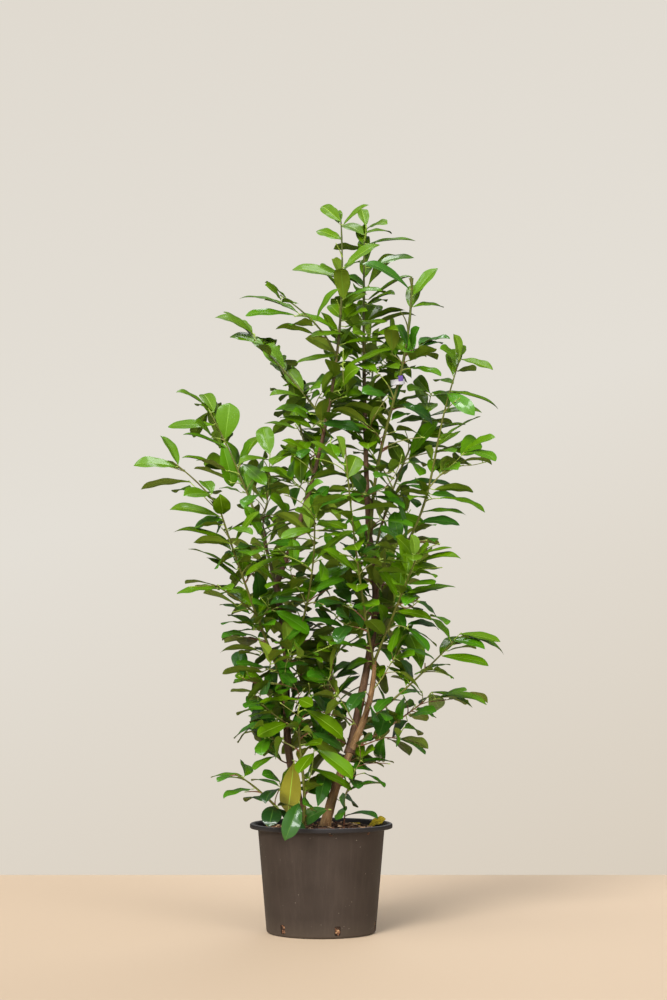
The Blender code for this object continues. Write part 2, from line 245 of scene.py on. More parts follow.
def frames_along(points):
    """Directions along a line of points, and two sides square to it that don't spin round it."""
    along = np.gradient(points, axis=0)
    along /= np.linalg.norm(along, axis=1)[:, None]
    sides = np.empty_like(along)
    sides[0] = square_to(np.array((0.0, -1.0, 0.15)), along[0])
    for i in range(1, len(points)):
        sides[i] = square_to(sides[i - 1], along[i])
    return along, sides, np.cross(along, sides)


def tube(points, radii, sides, look=0, relief=None, end="round"):
    """Points, faces and places of a round tube. radii may hold one number for each ring and side."""
    points = np.asarray(points, float)
    radii = np.asarray(radii, float)
    if radii.ndim == 1:
        radii = np.repeat(radii[:, None], sides, axis=1)
    along, first, second = frames_along(points)
    turns = np.arange(sides) * 2 * math.pi / sides
    ring = np.cos(turns)[None, :, None] * first[:, None] + np.sin(turns)[None, :, None] * second[:, None]
    run = run_along(points)
    places = np.stack(np.broadcast_arrays(radii * np.cos(turns), radii * np.sin(turns), run[:, None]), -1)
    if relief is not None:
        radii = radii + relief(places)
    skin = points[:, None] + ring * radii[..., None]
    grid = np.arange(len(points) * sides).reshape(len(points), sides)
    depth = DOME * radii[-1].mean() if end == "round" else 0.0
    ends = np.array((points[0] - along[0] * CAP_OUT, points[-1] + along[-1] * depth))
    looks = cap_look = np.asarray(look)
    if looks.ndim:
        cap_look = np.repeat((looks[0], looks[-1]), sides)
        looks = np.repeat(looks[:-1], sides)
    end_places = np.array(((0, 0, 0), (0, 0, run[-1])))
    skin = np.concatenate((skin.reshape(-1, 3), ends))
    places = np.concatenate((places.reshape(-1, 3), end_places))
    return skin, [(ring_faces(grid), looks), (end_caps(grid), cap_look)], places


def turned_on_axis(profile, segments):
    """Points and faces of a solid turned round the Z axis from (radius, height) pairs, both ends on it."""
    profile = np.asarray(profile, float)
    rings = profile[1:-1]
    turns = np.arange(segments) * 2 * math.pi / segments
    points = np.stack(np.broadcast_arrays(rings[:, :1] * np.cos(turns), rings[:, :1] * np.sin(turns),
                                          rings[:, 1:]), -1).reshape(-1, 3)
    grid = np.arange(len(points)).reshape(len(rings), segments)
    points = np.concatenate((points, ((0, 0, profile[0, 1]), (0, 0, profile[-1, 1]))))
    return points, ring_faces(grid), end_caps(grid)


print("mesh helpers ready")

# %% [markdown]
# ## Materials as short recipes
# A material could be wired by hand in the node editor. Written as a recipe it stays readable: a
# Finish holds the Principled shader, and node() adds a node and joins it in one line. The world is
# wired with the same tools. Colours are given as a painter reads them off a chart, from 0 to 255, and
# turned into the linear light values that the shader wants.

# %% Finishes
def paint(red, green, blue):
    """A colour chart's red, green and blue as linear light."""
    shares = [value / 255 for value in (red, green, blue)]
    return tuple(s / 12.92 if s <= 0.04045 else ((s + 0.055) / 1.055) ** 2.4 for s in shares)


class Wiring:
    """The nodes of a material or of the world."""

    def __init__(self, tree):
        self.tree = tree

    def node(self, kind, inputs=None, **settings):
        """A new node. Its inputs are numbers or the outputs of other nodes."""
        made = self.tree.nodes.new("ShaderNode" + kind)
        for key, value in settings.items():
            setattr(made, key, value)
        for key, value in (inputs or {}).items():
            self.join(made, key, value)
        return made

    def join(self, node, key, value):
        if isinstance(value, bpy.types.NodeSocket):
            self.tree.links.new(value, node.inputs[key])
        else:
            node.inputs[key].default_value = value


class Finish(Wiring):
    """A material with one Principled shader."""

    def __init__(self, name, colour, roughness):
        self.material = bpy.data.materials.new(name)
        self.material.use_nodes = True
        super().__init__(self.material.node_tree)
        self.shader = self.tree.nodes["Principled BSDF"]
        self.shader.inputs["Base Color"].default_value = (*colour, 1)
        self.shader.inputs["Roughness"].default_value = roughness

    def place(self, stretch=(1, 1, 1)):
        """Where a point lies on its leaf or limb, stretched so that a pattern runs along it."""
        read = self.node("Attribute", attribute_name="place")
        return self.node("Mapping", {"Vector": read.outputs["Vector"], "Scale": stretch}).outputs[0]

    def noise(self, where, size, detail=3.0, roughness=0.55):
        """Noise whose lumps are about size metres wide."""
        made = self.node("TexNoise", {"Vector": where, "Scale": 1 / size, "Detail": detail,
                                      "Roughness": roughness})
        return made.outputs["Fac"]

    def span(self, value, low, high, to_low=0.0, to_high=1.0):
        """The value, taken from one span to another and held inside it."""
        made = self.node("MapRange", {"Value": value, "From Min": low, "From Max": high,
                                      "To Min": to_low, "To Max": to_high})
        return made.outputs["Result"]

    def blend(self, share, first, second):
        """A mix of two colours, each a colour or another node's output."""
        made = self.node("Mix", {"Factor": share}, data_type="RGBA")
        for key, value in (("A", first), ("B", second)):
            socket = next(s for s in made.inputs if s.name == key and s.type == "RGBA")
            if isinstance(value, bpy.types.NodeSocket):
                self.tree.links.new(value, socket)
            else:
                socket.default_value = (*value, 1)
        return next(s for s in made.outputs if s.type == "RGBA")

    def relief(self, height, depth, strength=1.0):
        """Lets a height, from 0 to 1, catch the light as relief of this depth in metres."""
        made = self.node("Bump", {"Height": height, "Distance": depth, "Strength": strength})
        last = self.shader.inputs["Normal"].links
        if last:
            self.tree.links.new(last[0].from_socket, made.inputs["Normal"])
        self.tree.links.new(made.outputs[0], self.shader.inputs["Normal"])


print("finish helpers ready")

# %% [markdown]
# ## Bark
# Young laurel wood is green and smooth. In its second and third year it turns red-brown, and the
# oldest stem has a paler brown bark with short cross-wise pores. A photo texture could be wrapped
# round the stems, but noise that is stretched along each limb stays sharp at any distance. The relief
# that shows in the outline is in the mesh, and the finest grain is in the material.

# %% Three barks
PORES_PER_METRE = 210.0
YOUNG_FROM = 1.30
YOUNG_TO = 1.62


def bark_finish(name, main, dark, pale, roughness):
    """Bark with streaks along the limb and pale pores across it. High up it turns young and green."""
    bark = Finish(name, main, roughness)
    streaks = bark.noise(bark.place((1, 1, 0.16)), 0.0035, 5)
    patches = bark.noise(bark.place((1, 1, 0.5)), 0.030, 2)
    pores = bark.node("TexVoronoi", {"Vector": bark.place((0.42, 0.42, 1)), "Scale": PORES_PER_METRE,
                                     "Randomness": 1.0}).outputs["Distance"]
    colour = bark.blend(bark.span(streaks, 0.30, 0.72), dark, main)
    colour = bark.blend(bark.span(patches, 0.45, 0.80, 0, 0.55), colour, pale)
    colour = bark.blend(bark.span(pores, 0.20, 0.10, 0, 0.55), colour, pale)
    height = bark.node("SeparateXYZ", {"Vector": bark.node("TexCoord").outputs["Object"]}).outputs["Z"]
    young = bark.blend(bark.span(streaks, 0.30, 0.72), paint(56, 68, 22), paint(78, 94, 30))
    colour = bark.blend(bark.span(height, YOUNG_FROM, YOUNG_TO, 0, 0.85), colour, young)
    bark.join(bark.shader, "Base Color", colour)
    bark.join(bark.shader, "Roughness", bark.span(streaks, 0.3, 0.7, roughness + 0.1, roughness - 0.08))
    bark.relief(streaks, 0.0006)
    bark.relief(bark.span(pores, 0.25, 0.05), 0.0004)
    return bark.material


BARKS = {name: bark_finish(name, main, dark, pale, roughness) for name, main, dark, pale, roughness in (
    ("bark_dark", paint(98, 70, 50), paint(62, 42, 31), paint(134, 108, 80), 0.62),
    ("bark_light", paint(130, 98, 62), paint(84, 60, 36), paint(170, 142, 104), 0.66),
    ("bark_green", paint(92, 100, 30), paint(70, 64, 26), paint(108, 118, 44), 0.50),
)}
print(len(BARKS), "barks")

# %% [markdown]
# ## The limbs
# Five stems rise from the pot, or fork low down, and carry three leaders and seventeen boughs. Each is
# a tapered limb on a bowed line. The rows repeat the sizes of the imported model, because a bark that
# stands for a limb has to lie where the limb lies. A limb starts at a share of its parent's length,
# bears leaves beyond the share that is bare, and has an age from 0, this year's, to 1.

# %% Limbs, from the root to the tips
GROUND = 0.266
FLARE = 0.20
FLARE_HEIGHT = 0.025


class Limb(NamedTuple):
    name: str
    parent: str
    start: float | tuple
    tip: tuple
    radii: tuple
    bare: float
    age: float
    bow: tuple = (0, 0, 0)
    sway: tuple = (0, 0, 0)
    bark: str = "bark_green"


LIMBS = (
    Limb("stem_left", "", (-0.036, 0.020), (-0.116, 0.035, 0.875), (0.0105, 0.0075), 1, 0.9,
         (-0.013, 0.012, 0), (-0.013, 0.008, 0), bark="bark_dark"),
    Limb("stem_right", "", (0.010, -0.030), (0.134, -0.060, 0.680), (0.0128, 0.0056), 1, 0.9,
         (0.010, -0.006, 0), (-0.010, 0, 0), bark="bark_light"),
    Limb("stem_middle", "stem_right", 0.44, (0.122, 0.030, 1.003), (0.0105, 0.0080), 1, 0.9,
         (0.031, 0.022, 0), (-0.006, 0, 0), bark="bark_dark"),
    Limb("stem_front", "", (-0.044, -0.066), (-0.057, -0.110, 0.563), (0.0045, 0.0022), 0.95, 0.3,
         (0.004, -0.010, 0), (0.003, 0, 0)),
    Limb("stem_low_left", "", (-0.070, -0.040), (-0.213, -0.085, 0.400), (0.0036, 0.0020), 0.6, 0.7,
         (0, 0, 0.012)),
    Limb("leader_left", "stem_left", 1.0, (0.050, -0.030, 1.808), (0.0068, 0.0018), 0.25, 0.2,
         (0.055, -0.010, 0), (0, 0.010, 0), bark="bark_dark"),
    Limb("leader_middle", "stem_middle", 1.0, (0.112, 0.065, 1.779), (0.0075, 0.0020), 0.25, 0.4,
         (-0.006, 0.018, 0), bark="bark_dark"),
    Limb("leader_right", "stem_middle", 0.97, (0.232, -0.055, 1.654), (0.0045, 0.0031), 0.2, 0.5,
         (0, -0.010, 0), (-0.012, 0, 0)),
    Limb("bough_left", "stem_left", 0.555, (-0.251, -0.120, 1.052), (0.0042, 0.0022), 0.3, 0.35,
         (-0.005, -0.015, 0)),
    Limb("bough_far_left", "bough_left", 1.0, (-0.367, -0.152, 1.172), (0.0022, 0.0016), 0.1, 0.3,
         (0.012, 0, 0)),
    Limb("bough_left_low", "bough_left", 0.43, (-0.266, -0.165, 0.868), (0.0024, 0.0016), 0.3, 0.4,
         (0, 0, 0.006)),
    Limb("bough_upper_left", "stem_left", 0.93, (-0.291, 0.100, 1.327), (0.0043, 0.0017), 0.3, 0.2,
         (0.020, 0.010, 0)),
    Limb("bough_high_left", "leader_left", 0.44, (-0.176, 0.090, 1.518), (0.0034, 0.0016), 0.2, 0.15,
         (0.010, 0, 0)),
    Limb("bough_highest_left", "leader_left", 0.62, (-0.104, -0.100, 1.602), (0.0029, 0.0016), 0.3, 0.15,
         (0.022, -0.012, 0)),
    Limb("bough_front_left", "stem_left", 0.64, (-0.016, -0.200, 1.039), (0.0034, 0.0018), 0.35, 0.5,
         (0.022, -0.030, 0)),
    Limb("bough_front", "stem_right", 0.97, (0.060, -0.270, 1.195), (0.0031, 0.0018), 0.35, 0.15,
         (-0.008, -0.035, 0)),
    Limb("bough_right_fork", "stem_right", 1.0, (0.239, -0.180, 0.944), (0.0034, 0.0019), 0.35, 0.2,
         (0, -0.010, 0)),
    Limb("bough_right_inner", "stem_middle", 0.88, (0.271, 0.130, 1.314), (0.0038, 0.0018), 0.35, 0.4,
         (-0.016, 0.010, 0)),
    Limb("bough_right_high", "stem_middle", 0.74, (0.356, -0.030, 1.459), (0.0042, 0.0016), 0.35, 0.35,
         (0.035, -0.015, 0), (0.015, 0, 0)),
    Limb("bough_right_low", "stem_right", 0.61, (0.330, -0.040, 0.725), (0.0032, 0.0017), 0.45, 0.35,
         (0, 0, -0.008)),
    Limb("bough_lowest_right", "stem_right", 0.47, (0.262, 0.070, 0.575), (0.0031, 0.0017), 0.4, 0.7,
         (0, 0, -0.006), bark="bark_light"),
    Limb("bough_back_left", "stem_left", 0.70, (-0.160, 0.270, 1.050), (0.0048, 0.0024), 0.3, 0.6,
         (0, 0.030, 0), bark="bark_dark"),
    Limb("bough_back_right", "stem_middle", 0.45, (0.190, 0.270, 1.010), (0.0048, 0.0024), 0.3, 0.6,
         (0, 0.030, 0), bark="bark_dark"),
    Limb("bough_back_high", "leader_middle", 0.25, (0.140, 0.245, 1.500), (0.0040, 0.0020), 0.3, 0.4,
         (0, 0.020, 0)),
    Limb("bough_back_upper_left", "leader_left", 0.30, (-0.090, 0.230, 1.420), (0.0040, 0.0020), 0.3, 0.35,
         (0, 0.020, 0)),
)
BY_NAME = {limb.name: limb for limb in LIMBS}


def line_of(limb, shares):
    """Points on a limb's middle line at shares of its length, an array."""
    shares = np.asarray(shares, float)[:, None]
    if limb.parent:
        start = line_of(BY_NAME[limb.parent], [limb.start])[0]
    else:
        start = np.array((*limb.start, GROUND + 0.0003))
    straight = start + (np.array(limb.tip) - start) * shares
    bowed = np.array(limb.bow) * (4 * shares * (1 - shares))
    return straight + bowed + np.array(limb.sway) * np.sin(2 * math.pi * shares)


total = sum(run_along(line_of(limb, np.linspace(0, 1, 30)))[-1] for limb in LIMBS)
print(len(LIMBS), "limbs,", round(total, 2), "m in all")

# %% [markdown]
# ## Bark on the limbs
# Each limb is a tube with a ring every few millimetres, so that the bark can have real relief:
# ridges that run along it, swollen rings where leaves once grew, and a collar where it leaves its
# parent. Displacing an even tube by noise keeps it one closed skin. The roots of the ground stems
# flare and sink a little into the growing medium.

# %% Growing the bark
RING_STEP = 0.0045
COLLAR = 0.45
COLLAR_REACH = 2.2
SUNK = 0.004
NODE_STEP = 0.034
NODE_SWELL = 0.06
NODE_LONG = 0.0035
THICK_LIMB = 0.006
RIDGES_ROUND, RIDGES_ALONG, RIDGE_DEPTH = 330, 42, 0.055
KNOBS_ROUND, KNOBS_ALONG, KNOB_DEPTH = 70, 28, 0.085


def bark_relief(thick, seed):
    """A function that gives the bark's height at places round and along a limb."""
    offset = Vector((seed * 3.1, seed * 1.7, seed * 0.9))

    def height(places):
        flat = places.reshape(-1, 3)
        lumps = np.empty(len(flat))
        for i, (x, y, z) in enumerate(flat):
            ridges = noise.noise(Vector((x * RIDGES_ROUND, y * RIDGES_ROUND, z * RIDGES_ALONG)) + offset)
            knobs = noise.noise(Vector((x * KNOBS_ROUND, y * KNOBS_ROUND, z * KNOBS_ALONG)) + offset)
            lumps[i] = RIDGE_DEPTH * ridges + KNOB_DEPTH * knobs
        return (lumps * thick).reshape(places.shape[:2])

    return height


def grow_bark(limb, number):
    """The limb's own mesh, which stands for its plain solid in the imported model."""
    length = np.linalg.norm(line_of(limb, [1])[0] - line_of(limb, [0])[0])
    rings = max(12, round(length / RING_STEP))
    shares = np.linspace(0, 1, rings)
    points = line_of(limb, shares)
    run = shares * length
    radii = limb.radii[0] + (limb.radii[1] - limb.radii[0]) * shares
    if limb.parent:
        radii = radii * (1 + COLLAR * np.exp(-run / (COLLAR_REACH * limb.radii[0])))
    else:
        radii = radii * (1 + FLARE * np.exp(-run / FLARE_HEIGHT))
        points[0] = points[0] - (0, 0, SUNK)
    nodes = np.abs((run / NODE_STEP + number * 0.37) % 1 - 0.5) * NODE_STEP
    radii = radii * (1 + NODE_SWELL * np.exp(-(nodes / NODE_LONG) ** 2))
    sides = 20 if limb.radii[0] > THICK_LIMB else 12
    skin = Skin()
    skin.add(*tube(points, radii, sides, relief=bark_relief(limb.radii[0], number), end="flat"))
    obj = skin.make(limb.name + "_bark", [BARKS[limb.bark]])
    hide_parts(limb.name)
    return skin.triangles()


print("bark of", sum(grow_bark(limb, i) for i, limb in enumerate(LIMBS)), "triangles")

# %% [markdown]
# ## Where the leaves are
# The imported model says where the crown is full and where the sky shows, as masses round straight
# spines. The leaves have to fill those masses and leave the gaps open. These rows repeat each mass's
# spine and spread, with the number of twigs that a rule sends into it and the age of its leaves.
# depth_in() tells how far from each spine a point lies.

# %% Masses of leaves
class Mass(NamedTuple):
    name: str
    low: tuple
    high: tuple
    spread: float
    twigs: int
    age: float


MASSES = (
    Mass("leaves_top_left", (0.058, -0.020, 1.640), (0.025, -0.030, 1.856), 0.105, 1, 0.05),
    Mass("leaves_top_middle", (0.120, 0.075, 1.650), (0.160, 0.100, 1.850), 0.090, 1, 0.15),
    Mass("leaves_top_right", (0.215, -0.060, 1.470), (0.260, -0.065, 1.720), 0.095, 2, 0.5),
    Mass("leaves_highest_left", (-0.020, -0.090, 1.530), (-0.212, -0.125, 1.612), 0.058, 1, 0.1),
    Mass("leaves_high_left", (-0.060, 0.045, 1.370), (-0.262, 0.115, 1.565), 0.075, 1, 0.15),
    Mass("leaves_high_front", (0.040, -0.035, 1.350), (0.070, -0.060, 1.600), 0.105, 4, 0.25),
    Mass("leaves_high_back", (0.112, 0.085, 1.350), (0.115, 0.100, 1.610), 0.095, 3, 0.45),
    Mass("leaves_right_high", (0.310, -0.030, 1.290), (0.400, -0.045, 1.525), 0.080, 1, 0.3),
    Mass("leaves_right_outer", (0.220, 0.100, 1.230), (0.455, 0.150, 1.335), 0.075, 3, 0.5),
    Mass("leaves_right_middle", (0.285, -0.008, 1.130), (0.440, 0.050, 1.215), 0.068, 3, 0.4),
    Mass("leaves_right_inner", (0.225, -0.030, 0.970), (0.410, -0.060, 1.060), 0.075, 4, 0.7),
    Mass("leaves_right_fork", (0.200, -0.145, 0.820), (0.345, -0.230, 0.950), 0.090, 3, 0.2),
    Mass("leaves_right_low", (0.230, -0.035, 0.620), (0.462, -0.060, 0.720), 0.070, 2, 0.3),
    Mass("leaves_lowest_right", (0.180, 0.045, 0.520), (0.410, 0.110, 0.570), 0.065, 3, 0.7),
    Mass("leaves_front", (0.095, -0.190, 0.880), (0.050, -0.330, 1.230), 0.105, 3, 0.15),
    Mass("leaves_front_left", (-0.030, -0.120, 0.800), (-0.030, -0.270, 1.110), 0.095, 4, 0.5),
    Mass("leaves_left", (-0.175, -0.080, 0.790), (-0.270, -0.130, 1.060), 0.095, 4, 0.35),
    Mass("leaves_far_left", (-0.300, -0.130, 1.130), (-0.477, -0.170, 1.195), 0.060, 1, 0.3),
    Mass("leaves_left_low", (-0.255, -0.175, 0.845), (-0.366, -0.225, 0.868), 0.050, 1, 0.4),
    Mass("leaves_upper_left", (-0.190, 0.070, 1.130), (-0.350, 0.140, 1.390), 0.095, 3, 0.2),
    Mass("leaves_left_inner", (-0.135, 0.050, 0.930), (-0.120, 0.040, 1.230), 0.085, 5, 0.7),
    Mass("leaves_left_foot", (-0.120, 0.010, 0.480), (-0.170, 0.020, 0.790), 0.095, 8, 0.85),
    Mass("leaves_middle_foot", (-0.015, 0.020, 0.480), (-0.015, 0.035, 0.780), 0.100, 8, 0.85),
    Mass("leaves_middle", (-0.050, 0.030, 0.870), (-0.010, 0.020, 1.240), 0.085, 7, 0.75),
    Mass("leaves_middle_right", (0.130, 0.020, 0.700), (0.130, 0.030, 0.980), 0.090, 7, 0.8),
    Mass("leaves_middle_high", (0.125, -0.030, 1.070), (0.170, -0.050, 1.350), 0.100, 8, 0.7),
    Mass("leaves_back_left", (-0.120, 0.190, 0.830), (-0.190, 0.340, 1.160), 0.095, 7, 0.6),
    Mass("leaves_back_right", (0.150, 0.200, 0.790), (0.210, 0.345, 1.130), 0.098, 7, 0.6),
    Mass("leaves_back_high", (0.130, 0.185, 1.330), (0.160, 0.300, 1.590), 0.095, 6, 0.4),
    Mass("leaves_back_upper_left", (-0.050, 0.160, 1.230), (-0.120, 0.290, 1.520), 0.100, 7, 0.4),
    Mass("leaves_low_left", (-0.120, -0.060, 0.345), (-0.278, -0.105, 0.410), 0.050, 1, 0.8),
    Mass("leaves_right_foot", (0.075, -0.035, 0.385), (0.215, 0.000, 0.465), 0.058, 2, 0.85),
    Mass("leaves_front_foot", (-0.050, -0.095, 0.330), (-0.060, -0.130, 0.640), 0.090, 3, 0.6),
)
SPINE_LOW = np.array([mass.low for mass in MASSES])
SPINE = np.array([mass.high for mass in MASSES]) - SPINE_LOW
SPREAD = np.array([mass.spread for mass in MASSES])


def depth_in(points):
    """For each point, its distance from each mass's spine as a share of that mass's spread."""
    away = np.asarray(points, float)[..., None, :] - SPINE_LOW
    share = np.clip((away * SPINE).sum(-1) / (SPINE * SPINE).sum(-1), 0, 1)
    return np.linalg.norm(away - share[..., None] * SPINE, axis=-1) / SPREAD


print(len(MASSES), "masses")

# %% [markdown]
# ## Shoots
# Leaves don't grow on thick wood. They grow on shoots: the young ends of the limbs, and side twigs.
# A twig leaves its parent at an angle and then turns up towards the light, which a curve with three
# points can say. The parent is chosen by cost: a short way, a rise, and a natural angle are cheap.

# %% Shoots and how a twig leaves them
LINE_STEP = 0.006
TWIG_TIP = 0.0011
RISE_COST, LEAST_RISE = 0.06, 0.25
ANGLE_COST, NATURAL_ANGLE = 0.05, 0.55
TOO_NEAR_COST = 0.2


class Shoot(NamedTuple):
    name: str
    line: np.ndarray
    ways: np.ndarray
    radii: np.ndarray
    age: float
    bare: float
    twig: bool


def ways_of(line):
    """The direction of a line at each of its points."""
    ways = np.gradient(line, axis=0)
    return ways / np.linalg.norm(ways, axis=1)[:, None]


def limb_as_shoot(limb):
    length = np.linalg.norm(line_of(limb, [1])[0] - line_of(limb, [0])[0])
    shares = np.linspace(0, 1, max(8, round(length / LINE_STEP)))
    radii = limb.radii[0] + (limb.radii[1] - limb.radii[0]) * shares
    line = line_of(limb, shares)
    return Shoot(limb.name, line, ways_of(line), radii, limb.age, limb.bare, False)


def twig_line(start, leaving, target):
    """A twig that leaves its parent at an angle and then turns up a little to its target."""
    reach = np.linalg.norm(target - start)
    bend = start + unit(leaving + 1.3 * unit(target - start)) * reach * 0.5
    bend[2] -= 0.08 * reach
    return arched(start, bend, target, max(6, round(reach / LINE_STEP)))


def start_for(target, shoots, least=0.035):
    """The shoot and the point on it from which a twig reaches the target best."""
    lines = np.concatenate([shoot.line[2:-1] for shoot in shoots])
    along = np.concatenate([shoot.ways[2:-1] for shoot in shoots])
    away = target - lines
    reach = np.maximum(np.linalg.norm(away, axis=1), 1e-6)
    forward = (away * along).sum(1) / reach
    cost = reach + RISE_COST * np.maximum(0, LEAST_RISE - away[:, 2] / reach)
    cost = cost + ANGLE_COST * np.abs(forward - NATURAL_ANGLE)
    cost = cost + np.where(reach < least, TOO_NEAR_COST, 0)
    best = int(cost.argmin())
    i = best
    for shoot in shoots:
        if i < len(shoot.line) - 3:
            return shoot, i + 2, along[best]
        i -= len(shoot.line) - 3
    return None


SHOOTS = [limb_as_shoot(limb) for limb in LIMBS]
TWIG_ENDS = [limb.tip for limb in LIMBS]


def add_twig(name, line, age, thick, bare=0.30):
    """Adds a tapering twig to the shoots."""
    radii = np.linspace(thick, TWIG_TIP, len(line))
    SHOOTS.append(Shoot(name, line, ways_of(line), radii, age, bare, True))
    TWIG_ENDS.append(tuple(line[-1]))
    return SHOOTS[-1]


def shoot_called(name):
    return next(shoot for shoot in SHOOTS if shoot.name == name)


print(len(SHOOTS), "limbs that can carry twigs")

# %% [markdown]
# ## Side twigs that stand out
# Some side twigs stand clear of the crown, and an invented one would look wrong there. Each row was
# measured: the limb that carries the twig, how far its tip comes forward, its age, and a few
# pixels along it. The twig starts on its limb, and so it hangs together from every side.

# %% Side twigs seen in the picture
SEEN_TWIGS = (
    ("upright", "bough_upper_left", 0.020, 0.30, ((263, 522), (267, 505), (269, 480), (270, 455))),
    ("far_low", "bough_left", -0.020, 0.30, ((218, 514), (207, 500), (197, 489), (190, 482))),
    ("right_spur", "bough_right_high", 0.030, 0.35, ((431, 490), (440, 475), (450, 467), (462, 455))),
    ("twin", "bough_right_fork", 0.030, 0.15, ((397, 602), (404, 588), (411, 574), (415, 562))),
    ("whip_side", "stem_front", 0.035, 0.20, ((304, 794), (309, 780), (312, 769), (314, 751))),
    ("inner_spur", "bough_right_inner", 0.090, 0.15,
     ((394, 489), (386, 474), (377, 461), (370, 452), (368, 446))),
    ("high_spur", "leader_right", 0.040, 0.30, ((395, 399), (390, 388), (383, 378), (377, 373))),
    ("inner_tip", "bough_right_inner", 0.040, 0.10, ((427, 413), (429, 404), (431, 395))),
    ("fork_spur", "bough_right_fork", -0.030, 0.30, ((397, 603), (408, 611), (420, 615), (429, 617))),
    ("arch", "bough_right_fork", 0.020, 0.50, ((386, 632), (392, 626), (400, 625), (407, 628))),
    ("low_tip", "bough_right_low", 0.010, 0.20, ((451, 643), (455, 638), (460, 634))),
    ("lowest_tip", "bough_lowest_right", 0.020, 0.25, ((424, 703), (427, 698), (430, 694))),
    ("brown_spur", "stem_right", -0.030, 0.90, ((357, 748), (364, 745), (372, 742), (385, 737), (394, 738))),
    ("low_spur", "stem_left", 0.040, 0.80, ((287, 766), (281, 761), (276, 756))),
    ("pale_spur", "stem_right", 0.040, 0.60, ((355, 728), (350, 716), (345, 706), (337, 694))),
    ("cluster", "stem_right", 0.030, 0.50, ((371, 692), (379, 683), (386, 672), (391, 663))),
    ("foot_right", "", 0.040, 0.60, ((344, 826), (345, 808), (344, 797), (348, 789), (351, 779),
                                     (355, 771), (361, 760))),
)
FOOT_DEPTH = -0.020
TWIG_THICK = 0.0022
ROUNDINGS = 4


def even_line(corners):
    """A line through corner points, with rounded corners and a point every few millimetres."""
    corners = np.asarray(corners, float)
    run = run_along(corners)
    spots = np.linspace(0, run[-1], max(6, round(run[-1] / LINE_STEP)))
    line = np.stack([np.interp(spots, run, corners[:, axis]) for axis in range(3)], -1)
    for _ in range(ROUNDINGS):
        line[1:-1] = line[1:-1] * 0.5 + (line[:-2] + line[2:]) * 0.25
    return line


def nearest_in_picture(shoot, spot):
    """Which point of a shoot shows nearest to a pixel, and how many pixels away it is."""
    gaps = np.linalg.norm(in_picture(shoot.line) - spot, axis=1)
    return int(gaps.argmin()), float(gaps.min())


for name, carrier, forward, age, trace in SEEN_TWIGS:
    thick = TWIG_THICK
    first = from_picture(*trace[0], FOOT_DEPTH)
    if carrier:
        parent = shoot_called(carrier)
        i, _ = nearest_in_picture(parent, trace[0])
        first = parent.line[i]
        thick = min(thick, parent.radii[i] * 0.8)
    depths = first[1] - forward * np.linspace(0, 1, len(trace))
    rest = [from_picture(*spot, depth) for spot, depth in zip(trace, depths)][1:]
    add_twig(name, even_line([first, *rest]), age, thick)
print(len(SEEN_TWIGS), "side twigs set by eye")

# %% [markdown]
# ## The shape of a leaf
# A cherry laurel leaf is 9 to 14 cm long, widest past its middle, with a wedge-shaped foot and a
# short drawn-out tip that curls down. The blade folds up along a pale midrib and is quilted between
# its side veins. A flat card with a picture would look thin from the side, so each leaf is a closed
# lens of two sheets that meet at the edge. Its rows follow the side veins, and lie high and low by
# turns, which quilts it. The faces of both sheets start at the same corner, so that they fold along
# the same diagonals and neither sheet comes through the other.

# %% One leaf as rows along the side veins
ROWS = np.array((0, 0.03, 0.09, 0.165, 0.24, 0.315, 0.39, 0.465, 0.54, 0.615, 0.69, 0.765, 0.84, 0.905,
                 0.96, 1))
COLUMNS = np.array((-1, -0.64, -0.30, -0.036, 0.036, 0.30, 0.64, 1))
OUTLINE_AT = np.array((0, 0.025, 0.07, 0.13, 0.20, 0.27, 0.34, 0.41, 0.48, 0.55, 0.62, 0.69, 0.76, 0.83,
                       0.89, 0.94, 0.975, 1))
OUTLINE = np.array((0.05, 0.10, 0.23, 0.41, 0.58, 0.72, 0.83, 0.91, 0.965, 0.995, 1, 0.975, 0.92, 0.81,
                    0.64, 0.41, 0.20, 0))
VEIN_SLANT = 0.085
RIB_HALF = 0.05
STEPS = np.linspace(0, 1, 41)

ROW_OF, COLUMN_OF = np.meshgrid(np.arange(len(ROWS)), np.arange(len(COLUMNS)), indexing="ij")
ACROSS = COLUMNS[COLUMN_OF]
ALONG = ROWS[ROW_OF] + VEIN_SLANT * np.abs(ACROSS) * np.sin(math.pi * ROWS[ROW_OF]) ** 0.8
QUILT = np.where(ROW_OF % 2 == 0, -1.0, 1.0) * (1 - np.abs(ACROSS) ** 3) * np.sin(math.pi * ROWS[ROW_OF])
RIB = np.abs(ACROSS) < RIB_HALF
QUILT = np.where(RIB, 0, QUILT)
EDGE = (np.abs(ACROSS) == 1) | (ROW_OF == 0)


def leaf_faces():
    """Faces of one leaf, as (quads, which of them are midrib, triangles at the tip) for each sheet."""
    rows, columns = len(ROWS), len(COLUMNS)
    upper = np.arange((rows - 1) * columns).reshape(rows - 1, columns)
    tip = upper.size
    under = upper.copy()
    inner = ~EDGE[:-1]
    under[inner] = tip + 1 + np.arange(inner.sum())
    faces = []
    for sheet in (upper, under):
        quads = np.stack((sheet[:-1, :-1], sheet[1:, :-1], sheet[1:, 1:], sheet[:-1, 1:]), -1)
        ribs = np.zeros(quads.shape[:2], bool)
        ribs[:, columns // 2 - 1] = True
        ends = np.stack((sheet[-1, :-1], np.full(columns - 1, tip), sheet[-1, 1:]), -1)
        quads = quads.reshape(-1, 4)
        if sheet is under:
            quads, ends = quads[:, (0, 3, 2, 1)], ends[:, ::-1]
        faces.append((quads, ribs.ravel(), ends))
    return faces, tip + 1 + int(inner.sum())


LEAF_FACES, LEAF_POINTS = leaf_faces()
print(LEAF_POINTS, "points in a leaf")

